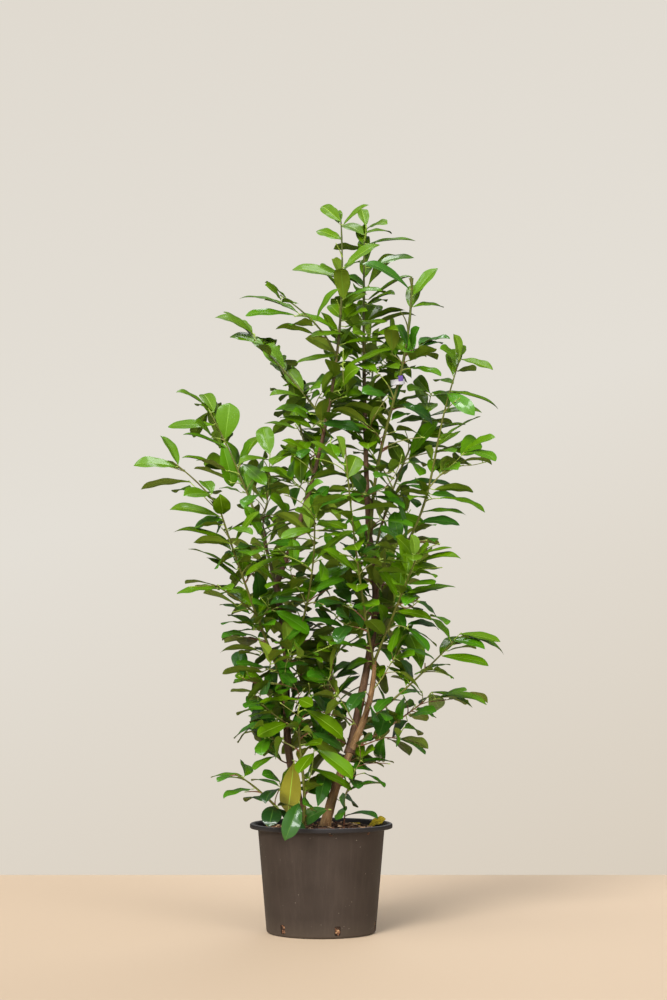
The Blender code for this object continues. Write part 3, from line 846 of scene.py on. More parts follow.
# %% [markdown]
# ## Bending many leaves at once
# Every leaf has its own length, width, droop, fold, twist and wave. One array operation can bend all
# leaves together: the midrib is a curve found by adding up small steps, and each point of the blade
# hangs on it. The chord from foot to tip keeps the direction that the shoot gives it, however much
# the leaf droops.

# %% Bent leaves
QUILT_HEIGHT = 0.00075
QUILTED_LENGTH = 0.1
HALF_THICK = 0.00028
GROOVE = 0.0003
KEEL = 0.0009
WAVES = 15
WAVE_SHIFT = 1.3


class Leaf(NamedTuple):
    foot: np.ndarray
    way: np.ndarray
    face: np.ndarray
    length: float
    width: float
    droop: float
    curl: float
    fold: float
    twist: float
    wave: float
    phase: float
    plump: float
    sheet: int
    mass: int


def bend_leaves(leaves):
    """Points (leaf, point, 3) and places of bent leaves."""
    foot, way, face, *sizes = (np.array([leaf[i] for leaf in leaves]) for i in range(12))
    length, width, droop, curl, fold, twist, wave, phase, plump = (size[:, None] for size in sizes)
    way = way / np.linalg.norm(way, axis=1)[:, None]
    face = face - way * (face * way).sum(1)[:, None]
    face /= np.linalg.norm(face, axis=1)[:, None]
    side = np.cross(face, way)
    along, across = np.clip(ALONG.ravel(), 0, 1), ACROSS.ravel()

    def run_of(slopes):
        """How far the midrib has come at each step, when these are its slopes."""
        means = (slopes[:, 1:] + slopes[:, :-1]) / 2 * np.diff(STEPS)
        return np.concatenate((np.zeros_like(length), np.cumsum(means, 1)), 1)

    def at(values):
        """Values along the midrib, read at each point of the blade."""
        spot = along * (len(STEPS) - 1)
        low = np.minimum(spot.astype(int), len(STEPS) - 2)
        part = spot - low
        return values[:, low] * (1 - part) + values[:, low + 1] * part

    angle = droop * STEPS + curl * STEPS ** 6
    run_x, run_z = run_of(np.cos(angle)), run_of(-np.sin(angle))
    lift = np.arctan2(run_z[:, -1:], run_x[:, -1:])
    scale = length / np.hypot(run_z[:, -1:], run_x[:, -1:])
    cos, sin = np.cos(-lift), np.sin(-lift)
    x, z = at((run_x * cos - run_z * sin) * scale), at((run_x * sin + run_z * cos) * scale)
    tilt = at(angle + lift)
    breadth = np.interp(along, OUTLINE_AT, OUTLINE)[None, :] ** plump
    half = width / 2
    out = across * breadth * half
    rise = np.abs(out) * np.tan(fold) - 0.35 * np.tan(fold) * out ** 2 / half
    rise = rise + wave * np.abs(across) ** 2 * np.sin(along * WAVES + phase + np.sign(across) * WAVE_SHIFT)
    rise = rise + QUILT_HEIGHT * QUILT.ravel()[None, :] * (length / QUILTED_LENGTH)
    thick = np.where(EDGE.ravel(), 0, HALF_THICK)
    groove = np.where(RIB.ravel(), -GROOVE, 0) * np.sin(math.pi * np.minimum(along, 0.96)) ** 0.5
    keel = np.where(RIB.ravel(), -KEEL, 0) * (1 - along) ** 0.5 * (1 - EDGE.ravel())
    spin = twist * along
    ahead = np.cos(tilt)[..., None] * way[:, None] + np.sin(tilt)[..., None] * face[:, None]
    above = -np.sin(tilt)[..., None] * way[:, None] + np.cos(tilt)[..., None] * face[:, None]
    beside = np.cos(spin)[..., None] * side[:, None] + np.sin(spin)[..., None] * above
    above = np.cross(ahead, beside)
    middle = foot[:, None] + x[..., None] * way[:, None] + z[..., None] * face[:, None]
    middle = middle + out[..., None] * beside
    upper = middle + (rise + thick + groove)[..., None] * above
    under = middle + (rise - thick + groove + keel)[..., None] * above
    flat = np.stack(np.broadcast_arrays(out, along * length, phase), -1)
    tip = (len(ROWS) - 1) * len(COLUMNS)
    inner = np.flatnonzero(~EDGE.ravel()[:tip])
    points = np.concatenate((upper[:, :tip + 1], under[:, inner]), 1)
    return points, np.concatenate((flat[:, :tip + 1], flat[:, inner]), 1)


print("leaves can be bent")

# %% [markdown]
# ## Leaf colours
# New leaves are a fresh yellow-green and turn dark and glossy by their second year. The two darkest
# greens are darker still, as painted shade on the oldest leaves, which sit low under the crown. The
# underside is paler and dull, and its greens are painted lighter still, as light shining through the
# leaf. The colours could be painted on each blade, but what the eye sees is that one spray is young and
# the next is old. So there is a short row of plain greens from young to old, each leaf takes one by the
# age of its shoot, and the nodes add only sheen and fine relief. The wax gets shinier with age. The last
# green of each row is for a leaf that turns yellow before it falls.

# %% Greens from young to old
# Painted shade: the two darkest living greens, taken by the oldest leaves low in the crown, are darkened
# beyond the leaves' own green to stand in for the shade of the crown above them.
UPPER_GREENS = ((75, 107, 2), (76, 110, 3), (76, 114, 4), (72, 115, 6), (63, 112, 9), (51, 99, 13),
                (38, 77, 19), (27, 57, 20), (100, 100, 20))
# The underside greens are the leaf's paler underside, painted lighter still to stand in for light shining
# through the leaf.
UNDER_GREENS_PALE_WITH_PAINTED_TRANSLUCENCY = ((84, 113, 20), (86, 115, 20), (92, 119, 23), (98, 122, 28), (104, 124, 33), (97, 116, 34),
                (86, 104, 34), (72, 90, 32), (108, 104, 26))
RIB_GREENS = ((122, 152, 48), (102, 138, 42), (84, 122, 40), (66, 98, 38))
AGES = len(UPPER_GREENS) - 1
TURNING = AGES
WAX_ROUGHNESS = 0.11
VEINS_PER_METRE = 420.0
VEIN_RELIEF = 0.00006


def leaf_finish(name, colour, roughness, coat, shine=0.2):
    """A leaf's finish: waxy sheen, a fine net of veins and slightly uneven gloss."""
    leaf = Finish(name, paint(*colour), roughness)
    leaf.shader.inputs["Specular IOR Level"].default_value = shine
    leaf.shader.inputs["Coat Weight"].default_value = coat
    leaf.shader.inputs["Coat Roughness"].default_value = WAX_ROUGHNESS
    net = leaf.node("TexVoronoi", {"Vector": leaf.place(), "Scale": VEINS_PER_METRE},
                    feature="DISTANCE_TO_EDGE")
    cloud = leaf.noise(leaf.place(), 0.012, 2)
    leaf.join(leaf.shader, "Roughness", leaf.span(cloud, 0.35, 0.7, roughness - 0.06, roughness + 0.08))
    leaf.relief(leaf.span(net.outputs["Distance"], 0, 0.30), VEIN_RELIEF, 0.2)
    leaf.relief(cloud, 0.0012, 0.5)
    return leaf.material


LEAF_LOOKS = [leaf_finish(f"leaf_upper_{i}", colour, 0.48 - 0.020 * i, min(0.04 + 0.12 * i, 0.8),
                          0.12 + 0.02 * i) for i, colour in enumerate(UPPER_GREENS)]
LEAF_LOOKS += [leaf_finish(f"leaf_under_{i}", colour, 0.56, 0.0) for i, colour in enumerate(UNDER_GREENS_PALE_WITH_PAINTED_TRANSLUCENCY)]
LEAF_LOOKS += [leaf_finish(f"leaf_rib_{i}", colour, 0.45, 0.0) for i, colour in enumerate(RIB_GREENS)]
print(len(LEAF_LOOKS), "leaf finishes")

# %% [markdown]
# ## Room for a leaf
# Leaves that grow strictly by angle would cut through each other. So every leaf is stood for by a few
# feelers, points on its blade, and a new leaf takes the pose whose feelers have the most room.

# %% Feelers
LEAVES = []
STALKS = []
LOOK_ROUND = 0.13
ENOUGH = 0.05
FEELERS = (np.array((0.3, 0.55, 0.8, 1.0, 0.55, 0.55)), np.array((0, 0, 0, 0, 0.42, -0.42)))
BLADE = (np.repeat((0.12, 0.34, 0.56, 0.78, 0.97), 3),
         np.tile((-0.38, 0, 0.38), 5) * np.repeat((0.5, 1, 1, 0.9, 0.2), 3))


def spots_on(spots, foot, way, face, length, width):
    """Points of a leaf, at shares of its length and width."""
    along, across = spots
    side = np.cross(face, way)
    return foot + way * (length * along)[:, None] + side * (width * across)[:, None]


class Room:
    """The feelers of all the leaves that are set."""

    def __init__(self, most):
        self.points = np.full((most, 3), 1e3)
        self.count = 0

    def round(self, points):
        """How far the nearest set leaf is from new feelers, counted up to ENOUGH."""
        used = self.points[:max(self.count, 1)]
        near = used[np.abs(used - points[1]).max(1) < LOOK_ROUND]
        if not len(near):
            return ENOUGH
        return min(ENOUGH, math.sqrt(((points[:, None] - near) ** 2).sum(-1).min()))

    def take(self, points):
        self.points[self.count:self.count + len(points)] = points
        self.count += len(points)


ROOM = Room(16000)


def leaf_from(foot, way, face, length, width, age, mass, steady=1.0):
    """A leaf with its own droop, fold, twist and wave. A steady leaf keeps closer to its age's habit."""
    look = int(np.clip(round(age * (AGES - 1) + RANDOM.gauss(0, 0.7) * steady), 0, AGES - 1))
    if age > 1:
        look, age = TURNING, 0.6
    return Leaf(foot, way, face, length, width,
                droop=RANDOM.uniform(0.05, 0.45) + 0.25 * age,
                curl=RANDOM.uniform(0.1, 0.7),
                fold=RANDOM.uniform(0.10, 0.42) - 0.12 * age,
                twist=RANDOM.gauss(0, 0.25) * steady,
                wave=RANDOM.uniform(0.0004, 0.0018),
                phase=RANDOM.uniform(0, 6.28),
                plump=RANDOM.uniform(0.82, 1.18),
                sheet=look, mass=mass)


def nearest_mass(point):
    return int(depth_in(point).argmin())


print("room for", len(ROOM.points), "feelers")

# %% [markdown]
# ## Leaves that the picture shows
# The outline of this plant is made by single leaves, so those were measured one by one. A row
# holds the foot and tip of a leaf in pixels, how many pixels wide it shows, less than nothing where
# its underside shows, and its age from 0, new and bright, to 1, old and dark. The rows stand under
# the shoot that carries them, or under a depth where the crown hides the shoot. How far a leaf leans
# towards the lens or away isn't in the picture: it follows from a leaf's usual length. An age of 2
# stands for the one leaf that has turned yellow.

# %% Rows of leaves, measured
SEEN_LEAVES = (
    ("leader_left", (
        (341, 222, 320, 205, 12, 0), (343, 225, 369, 205, 4, 0), (342, 240, 315, 231, 9, 0.05),
        (345, 267, 381, 244, 9, 0.15), (343, 279, 331, 257, -11, 0.4), (341, 279, 291, 270, 8, 0.15),
        (343, 277, 321, 267, 3, 0.3), (346, 276, 364, 289, 4, 0.5), (344, 300, 341, 271, -16, 0.45),
        (345, 298, 382, 291, 5, 0.5), (345, 308, 368, 293, 7, 0), (344, 320, 328, 304, 12, 0),
        (346, 321, 367, 311, 3, 0), (345, 327, 389, 322, 4, 0.1), (344, 334, 311, 337, 5, 0.1),
        (335, 330, 294, 316, 4, 0.15), (345, 343, 386, 344, 5, 0.1), (335, 352, 304, 338, -12, 0.6),
        (340, 355, 296, 363, 5.5, 0.1), (344, 361, 350, 348, 11, 0.05), (343, 369, 393, 349, 6, 0.15),
        (341, 388, 359, 369, 10, 0.2), (340, 369, 321, 392, -9, 0.5), (328, 381, 316, 385, 7, 0.4),
        (334, 377, 330, 361, -13, 0.35), (346, 395, 358, 381, -10, 0.4))),
    ("leader_middle", (
        (366, 226, 360, 207, 12, 0), (364, 235, 341, 225, 10, 0.1), (366, 229, 387, 224, 4, 0.05),
        (366, 233, 392, 234, 2, 0.05), (368, 244, 416, 241, 4, 0.25), (365, 250, 333, 249, -6, 0.35),
        (369, 268, 416, 258, 5, 0.4), (368, 300, 413, 277, 1.5, 0.2), (368, 304, 394, 295, 2, 0.1),
        (369, 305, 387, 302, 4, 0.05), (368, 321, 405, 311, -5, 0.5), (368, 330, 416, 316, -6, 0.5),
        (382, 364, 364, 360, 8, 0.6), (380, 360, 361, 345, -14, 0.7))),
    ("leader_right", (
        (410, 290, 362, 264, 7, 0.8), (413, 296, 439, 267, 11, 0.3), (413, 307, 445, 308, 4, 0.25),
        (408, 345, 397, 327, 8, 0.8), (411, 357, 411, 331, 14, 0.65), (413, 350, 419, 329, 8, 0.75),
        (419, 347, 437, 340, 6, 0.7), (420, 345, 449, 339, 1.5, 0.7), (418, 348, 443, 344, 4, 0.8),
        (411, 359, 434, 349, -10, 0.35), (415, 359, 438, 360, -3.5, 0.5), (410, 361, 404, 352, -6, 0.4),
        (410, 368, 441, 376, 6, 0.4), (392, 352, 390, 331, -15, 0.6), (395, 378, 416, 367, 3.5, 0.1),
        (387, 395, 361, 393, 8, 0.7), (386, 419, 343, 407, -9, 0.6), (384, 408, 370, 425, -7, 0.4),
        (394, 405, 397, 386, 12, 0.85), (393, 407, 414, 410, 2.5, 0.8), (405, 407, 432, 423, 9, 0.8),
        (392, 420, 408, 415, 7, 0.6), (421, 436, 396, 431, -4, 0.6), (380, 398, 370, 412, -7, 0.4))),
    ("high_spur", (
        (377, 373, 357, 366, 9, 0.25), (379, 369, 399, 369, 2.5, 0.15), (376, 376, 373, 390, -7, 0.4))),
    ("bough_highest_left", (
        (281, 300, 266, 286, 7, 0), (281, 302, 238, 299, 3, 0.25), (282, 302, 296, 304, -4, 0),
        (294, 315, 245, 316, 5, 0.35), (316, 321, 338, 290, 5, 0.25), (312, 326, 292, 325, -8, 0.5),
        (316, 335, 275, 329, -5, 0.35))),
    ("bough_high_left", (
        (253, 333, 222, 311, 5, 0.1), (253, 334, 215, 318, 6, 0.1), (263, 344, 229, 336, 7, 0.3),
        (285, 368, 264, 343, 16, 0.25), (270, 356, 256, 346, -6, 0.4), (303, 391, 286, 369, 14, 0.25),
        (303, 398, 270, 396, 5, 0.2), (310, 413, 274, 410, 7, 0.35), (313, 424, 294, 412, 6, 0.4),
        (312, 429, 279, 418, 7, 0.2), (306, 395, 320, 388, 3, 0.3), (320, 394, 311, 401, 5, 0.4))),
    ("bough_upper_left", (
        (209, 408, 178, 393, 4.5, 0.15), (214, 412, 202, 393, 13, 0.15), (225, 439, 230, 402, 24, 0.3),
        (214, 425, 167, 427, 9, 0.3), (212, 436, 196, 423, 7, 0.2), (222, 447, 210, 433, -11, 0.1),
        (226, 448, 183, 435, 3, 0.4), (222, 443, 232, 487, 17, 0.35), (226, 441, 238, 468, 8, 0.3),
        (224, 469, 182, 458, 2, 0.1), (226, 472, 198, 461, -4, 0.6), (230, 481, 193, 468, -5, 0.4),
        (240, 464, 251, 443, 8, 0.45), (250, 496, 242, 464, 17, 0.45), (243, 464, 267, 486, 13, 0.45),
        (263, 469, 268, 457, 3, 0.5))),
    ("upright", ((270, 454, 262, 425, 18, 0.35), (270, 460, 239, 464, 5, 0.1))),
    ("bough_far_left", (
        (178, 465, 159, 434, 10, 0.25), (177, 467, 134, 466, 9, 0.25), (184, 471, 166, 466, -4, 0.1),
        (210, 494, 184, 496, 11, 0.35), (212, 494, 202, 481, 12, 0.3))),
    ("far_low", ((190, 482, 140, 490, -8, 0.35), (190, 491, 176, 493, 1.5, 0.2))),
    ("bough_left", (
        (223, 514, 220, 495, 18, 0), (221, 517, 170, 510, 8, 0.1), (222, 520, 194, 528, 8, 0.6),
        (220, 525, 196, 528, -3, 0.5), (230, 543, 173, 532, 5, 0.05), (231, 544, 194, 543, -9, 0.5),
        (224, 521, 219, 531, 6, 0.4), (220, 511, 214, 506, 6, 0.4), (228, 529, 253, 535, 6, 0.3),
        (237, 570, 187, 549, 3, 0.2), (243, 584, 206, 557, 3.5, 0.15), (232, 556, 218, 568, -5, 0.6),
        (234, 556, 223, 562, 8, 0.7), (250, 562, 237, 563, -6, 0.5), (246, 571, 233, 582, -7, 0.5),
        (232, 552, 250, 556, 4, 0.5), (239, 548, 251, 549, 4, 0.7), (256, 571, 258, 598, 16, 0.85),
        (238, 556, 273, 584, 5, 0), (253, 628, 228, 616, 6, 0.7), (254, 625, 222, 625, -2.5, 0.7),
        (258, 638, 222, 638, 5, 0.7), (259, 651, 221, 653, -4, 0.6), (260, 656, 239, 654, -2, 0.6),
        (266, 668, 237, 664, 5, 0.7), (263, 672, 222, 674, -8, 0.6), (262, 683, 236, 682, -5, 0.55),
        (259, 693, 230, 692, -4, 0.4), (270, 681, 248, 698, -8, 0.45), (258, 688, 270, 698, -6, 0.5),
        (259, 641, 270, 664, -10, 0.6), (258, 637, 272, 642, 4, 0.7), (256, 624, 270, 612, -4, 0.5),
        (259, 631, 275, 625, 4, 0.6), (268, 607, 253, 604, 6, 0.5))),
    ("bough_left_low", (
        (216, 586, 184, 584, -3, 0.2), (219, 589, 177, 594, 4.5, 0.35), (238, 607, 202, 593, -4, 0.4),
        (219, 590, 232, 590, 6, 0.35), (250, 614, 219, 605, 5, 0.6))),
    ("bough_front_left", (
        (315, 521, 295, 511, 5, 0.05), (316, 520, 347, 530, 5, 0.15), (317, 525, 333, 530, 7, 0.25),
        (314, 529, 281, 539, 9, 0.3), (318, 539, 339, 536, 3, 0.2), (316, 560, 356, 531, 7, 0.2),
        (320, 560, 320, 581, 10, 0.5), (314, 549, 270, 553, 4, 0.1), (312, 563, 273, 568, 3, 0.15),
        (315, 592, 345, 579, 8, 0.55), (285, 556, 245, 577, 5, 0), (278, 549, 251, 556, 3, 0.3))),
    ("bough_front", (
        (344, 459, 336, 435, -8, 0), (347, 478, 357, 455, 19, 0), (343, 465, 310, 442, 5, 0.05),
        (346, 495, 308, 510, -8, 0.1), (348, 499, 331, 501, 3.5, 0.4), (350, 501, 359, 502, 2, 0.4),
        (353, 511, 400, 509, -5.5, 0.05), (354, 544, 358, 551, 25, 0), (355, 571, 324, 550, 9, 0.3),
        (357, 585, 357, 592, 23, 0.05), (361, 604, 378, 606, 8, 0.3), (378, 604, 384, 621, 10, 0.3),
        (380, 558, 361, 556, 4, 0.3), (382, 566, 357, 561, -5, 0.3), (352, 539, 368, 530, 5, 0.7),
        (350, 626, 337, 644, 14, 0.85), (361, 628, 351, 610, 9, 0.85), (367, 646, 352, 647, 6, 0.7))),
    ("inner_spur", (
        (376, 461, 353, 454, 2.5, 0.1), (368, 444, 368, 449, 19, 0.05), (370, 452, 334, 427, 3, 0.1),
        (374, 454, 387, 450, 3, 0.1))),
    ("inner_tip", (
        (430, 393, 416, 377, 13, 0), (432, 396, 477, 397, 4, 0.1), (432, 392, 450, 405, 12, 0.35),
        (425, 392, 407, 391, 6, 0.3), (427, 403, 427, 414, 22, 0.05))),
    ("bough_right_inner", (
        (424, 420, 399, 423, 6, 0.1), (424, 434, 466, 425, 4, 0.1), (410, 455, 438, 422, 13, 0.35),
        (429, 416, 482, 413, 4.5, 0.15), (415, 446, 386, 435, 6, 0.05), (404, 465, 388, 441, -15, 0.2),
        (401, 463, 389, 470, -12, 0.25), (400, 482, 408, 464, 8, 0.4), (411, 462, 420, 476, 9, 0.5),
        (408, 463, 423, 467, 4, 0.6), (400, 485, 457, 488, 7, 0.8), (402, 496, 417, 508, 5, 0.85))),
    ("bough_right_high", (
        (459, 359, 453, 332, -8, 0.05), (458, 360, 440, 349, 7, 0.25), (460, 359, 493, 370, 6, 0.1),
        (457, 371, 477, 371, -7, 0.1), (453, 384, 436, 382, 2.5, 0.3), (447, 393, 475, 416, 15, 0.6),
        (452, 392, 499, 410, 3.5, 0.15), (440, 440, 482, 416, 2.5, 0.2), (436, 453, 455, 453, 1.5, 0.5),
        (432, 461, 424, 447, -7, 0.4), (434, 490, 473, 492, -8, 0.4), (432, 495, 460, 501, 6, 0.8),
        (440, 498, 485, 513, 4.5, 0.35), (422, 512, 467, 516, 4, 0.45), (420, 522, 460, 525, 9, 0.8),
        (415, 533, 435, 526, -5, 0.5), (423, 493, 418, 481, -9, 0.5), (418, 543, 434, 542, -4, 0.7),
        (430, 494, 400, 489, 3, 0.75), (430, 496, 398, 494, -4, 0.6), (428, 499, 410, 500, 2, 0.3))),
    ("right_spur", (
        (461, 455, 478, 438, 21, 0.35), (464, 452, 494, 438, 7, 0.3), (466, 452, 495, 461, 8, 0.4),
        (457, 463, 493, 465, -3.5, 0.3), (442, 472, 456, 458, -14, 0.4), (446, 471, 458, 470, 6, 0.5))),
    ("bough_right_fork", (
        (412, 554, 396, 537, 9, 0), (415, 555, 411, 534, -11, 0), (413, 555, 413, 561, 20, 0),
        (408, 574, 377, 572, -6, 0.05), (397, 597, 375, 567, 9, 0.25), (396, 611, 431, 620, 8, 0.2),
        (384, 635, 368, 620, -14, 0.15), (396, 604, 381, 603, -5, 0.2), (403, 594, 456, 587, 5.5, 0.2),
        (405, 598, 439, 591, 6, 0.35), (417, 600, 405, 606, 9, 0.6), (400, 594, 393, 584, -7, 0.4))),
    ("twin", (
        (419, 556, 429, 546, 5, 0), (418, 556, 452, 548, 2.5, 0.05), (416, 564, 461, 559, 3.5, 0.1),
        (412, 571, 439, 568, 8, 0.1), (415, 573, 435, 578, -2.5, 0.3), (409, 584, 434, 584, 6, 0.4))),
    ("fork_spur", ((418, 602, 436, 616, 4, 0.7), (430, 616, 446, 625, 4, 0.4))),
    ("arch", (
        (408, 624, 439, 630, 5, 0.85), (408, 629, 428, 651, 7, 0.75), (407, 628, 437, 647, 1.5, 0.5),
        (399, 627, 392, 652, 8, 0.35), (405, 630, 393, 614, 12, 0.6))),
    ("bough_right_low", (
        (450, 640, 484, 649, 8, 0.5), (442, 656, 488, 666, 9, 0.35), (424, 670, 450, 665, 3.5, 0.2),
        (433, 670, 451, 678, -4.5, 0.3), (433, 670, 416, 675, -3.5, 0.3), (450, 639, 431, 618, 7, 0.2),
        (393, 697, 376, 712, 9, 0.8), (388, 709, 396, 724, -8, 0.6), (380, 713, 386, 721, 8, 0.7))),
    ("low_tip", ((460, 634, 500, 642, 7, 0.1), (463, 635, 504, 655, 5, 0.3))),
    ("bough_lowest_right", (
        (410, 717, 436, 712, 6, 0.75), (415, 705, 402, 709, 8, 0.2), (421, 692, 400, 695, 6, 0.6),
        (404, 697, 403, 719, 10, 0.7), (408, 721, 393, 736, 8, 0.8))),
    ("lowest_tip", (
        (430, 694, 440, 709, 18, 0.25), (431, 692, 473, 708, 3.5, 0.15), (436, 698, 486, 705, 4.5, 0.25),
        (440, 697, 466, 691, 5, 0.4))),
    ("cluster", (
        (396, 657, 414, 656, 8, 0.4), (402, 649, 435, 660, 4, 0.55), (400, 661, 413, 677, 7, 0.8),
        (400, 672, 421, 693, -4, 0.6), (390, 661, 380, 650, 8, 0.7), (391, 650, 386, 638, 6, 0.7))),
    ("brown_spur", (
        (384, 738, 381, 761, 12, 0.8), (393, 738, 424, 754, 3.5, 0.85), (404, 728, 418, 736, 2, 0.8),
        (402, 731, 401, 740, -5, 0.5))),
    ("foot_right", (
        (361, 759, 351, 739, 12, 0.1), (362, 760, 375, 750, 5, 0.2), (362, 762, 394, 763, 3, 0.8),
        (353, 768, 369, 770, 9, 0.7), (364, 773, 383, 787, 4, 0.75), (351, 779, 358, 789, 9, 0.8),
        (345, 816, 377, 819, 4.5, 0.9), (344, 807, 341, 819, 10, 0.7), (345, 798, 353, 806, 4, 0.85),
        (343, 806, 339, 797, 7, 0.7), (360, 745, 372, 740, 5, 0.8))),
    ("stem_front", (
        (299, 700, 256, 705, 5.5, 0), (299, 699, 313, 706, 12, 0), (306, 710, 343, 739, 13, 0.05),
        (299, 727, 283, 729, -4, 0.35), (306, 744, 321, 744, 9, 0.1), (294, 762, 288, 812, -21, 2))),
    ("whip_side", (
        (313, 753, 299, 773, 12, 0.15), (317, 750, 352, 779, 14, 0.15), (312, 769, 352, 790, 7, 0.2),
        (309, 778, 311, 771, 5, 0.2), (305, 791, 320, 785, -10, 0.45))),
    ("stem_low_left", (
        (243, 776, 210, 778, 2.5, 0.45), (244, 780, 218, 782, 3, 0.6), (245, 776, 243, 764, 12, 0.4),
        (254, 789, 225, 798, 5.5, 0.6), (265, 802, 246, 802, 1.5, 0.8), (279, 786, 251, 781, 3.5, 0.6),
        (280, 782, 262, 775, 7, 0.75))),
    ("low_spur", ((276, 756, 255, 770, 5.5, 0.4),)),
    ("pale_spur", (
        (350, 726, 331, 716, -6, 0.6), (340, 703, 326, 711, -11, 0.5), (338, 697, 329, 682, -8, 0.5))),
    (-0.150, ((278, 789, 266, 803, 10, 0.95), (274, 806, 269, 826, 20, 1.0), (328, 809, 306, 821, 15, 0.9),
              (310, 808, 303, 804, 5, 0.7))),
    (-0.165, ((299, 803, 286, 838, 18, 1.0),)),
    (-0.110, (
        (286, 723, 258, 736, 13, 0.2), (266, 738, 262, 755, 13, 0.6), (283, 738, 277, 755, -7, 0.5),
        (262, 704, 246, 708, 6, 0.65), (265, 710, 237, 716, 2, 0.6), (274, 714, 251, 717, -3, 0.6),
        (275, 718, 251, 724, 3, 0.7), (258, 723, 234, 739, 4, 0.7), (264, 725, 253, 729, -5, 0.5),
        (295, 702, 286, 715, 12, 0.5), (309, 713, 320, 735, 9, 0.8), (303, 719, 294, 729, 10, 0.8),
        (302, 730, 313, 738, -5, 0.55))),
    (-0.090, (
        (311, 697, 326, 713, 8, 0.75), (303, 689, 292, 699, 10, 0.8), (334, 697, 312, 696, -6, 0.6),
        (326, 677, 307, 677, 8, 0.7), (284, 672, 292, 683, 11, 0.65), (275, 670, 311, 665, 6, 0.75),
        (322, 685, 304, 693, -6, 0.55), (310, 733, 343, 752, 9, 0.85), (270, 682, 267, 694, 8, 0.8),
        (365, 692, 350, 711, 12, 0.8), (363, 700, 362, 718, 5, 0.8), (370, 707, 372, 720, 6, 0.8),
        (368, 661, 347, 668, 8, 0.5), (368, 650, 330, 645, 2, 0.5), (291, 650, 277, 643, -7, 0.5),
        (297, 655, 295, 644, -6, 0.5), (271, 661, 284, 650, -8, 0.5), (330, 644, 321, 637, 8, 0.25))),
    (-0.080, (
        (293, 581, 268, 572, 5, 0.25), (292, 583, 267, 589, 3, 0.3), (270, 598, 309, 592, 6, 0.25),
        (270, 605, 300, 596, 4, 0.4), (292, 589, 305, 580, -9, 0.45), (309, 602, 271, 605, 5, 0.85),
        (278, 607, 306, 615, 4, 0.8), (291, 567, 304, 574, -7, 0.6), (296, 577, 311, 580, 1.5, 0.8),
        (262, 597, 271, 594, -4, 0.2), (294, 604, 307, 612, -2.5, 0.5), (330, 588, 317, 603, 2.5, 0.85),
        (350, 607, 315, 608, 6, 0.85), (340, 602, 319, 600, -6, 0.4), (335, 615, 320, 610, -5, 0.5),
        (350, 603, 337, 589, 13, 0.85), (350, 621, 336, 614, 8, 0.9), (300, 620, 344, 628, 6, 0.8))),
    (-0.060, (
        (365, 491, 352, 476, 14, 0.75), (385, 487, 363, 499, 7, 0.75), (380, 519, 345, 525, 4, 0.85),
        (397, 540, 380, 530, 6, 0.85), (378, 545, 397, 557, -4, 0.5), (354, 559, 342, 544, 9, 0.85),
        (368, 540, 376, 522, -8, 0.5), (321, 423, 360, 431, 9, 0.85), (366, 423, 333, 410, -8, 0.6),
        (331, 438, 320, 434, -8, 0.7), (340, 566, 324, 568, -8, 0.6), (333, 556, 311, 553, -6, 0.7))),
    (0.000, (
        (295, 456, 283, 449, 4, 0.3), (291, 455, 272, 465, 3, 0.15), (294, 481, 265, 467, 7, 0.2),
        (294, 483, 261, 471, 5, 0.25), (297, 457, 294, 477, 6, 0.6), (309, 449, 300, 459, 9, 0.8),
        (305, 480, 331, 465, 7, 0.6), (311, 480, 342, 474, -7, 0.45), (300, 488, 295, 501, 11, 0.7),
        (288, 513, 270, 497, 9, 0.3), (287, 513, 273, 501, 6, 0.5))),
)
print(sum(len(rows) for _, rows in SEEN_LEAVES), "leaves measured by eye")

# %% [markdown]
# ## Setting the measured leaves
# The carrier gives a leaf's foot its depth. If the shoot isn't near enough for a stalk, a short twig
# grows there first. The blade turns about its midrib until it shows as wide as it was measured. Some
# stretches of bark lie in plain sight as well. They are listed with the heights, in pixels, between
# which they show, and they join the spots that no other leaf should hide.

# %% Measured leaves in their places
STALK_REACH = 0.017
SHORT_TWIG = 0.0018
USUAL_LENGTH = 0.098
NEW_LENGTH = 0.084
NEW_AGE = 0.08
SEEN_WIDTHS = (0.37, 0.43)
END_ON = 1.4
ON_SHOOT = (-0.004, 0.004)
INSIDE_CROWN = (-0.030, -0.015, 0, 0.015, 0.030)
SEEN_FRONT_MOST = -0.405
SHOWN = []
BARE_IN_SIGHT = (("stem_right", 640, 818), ("stem_middle", 684, 735), ("stem_left", 733, 768),
                 ("stem_middle", 480, 530), ("leader_middle", 480, 530), ("stem_left", 794, 815))
BARK_COUNTS = 3


def hold(foot, way, shoots, age, name):
    """Where a leaf's stalk starts. A twig grows there first if no shoot is near its foot."""
    gaps = [float(np.linalg.norm(shoot.line - foot, axis=1).min()) for shoot in shoots]
    nearest = shoots[int(np.argmin(gaps))]
    if min(gaps) < STALK_REACH:
        return nearest.line[int(np.linalg.norm(nearest.line - foot, axis=1).argmin())]
    end = foot - way * 0.006 - UP * 0.003
    parent, i, along = start_for(end, shoots, 0.012)
    thick = min(SHORT_TWIG, parent.radii[i] * 0.75)
    return add_twig(name, twig_line(parent.line[i], along, end), age, thick, 0.5).line[-1]


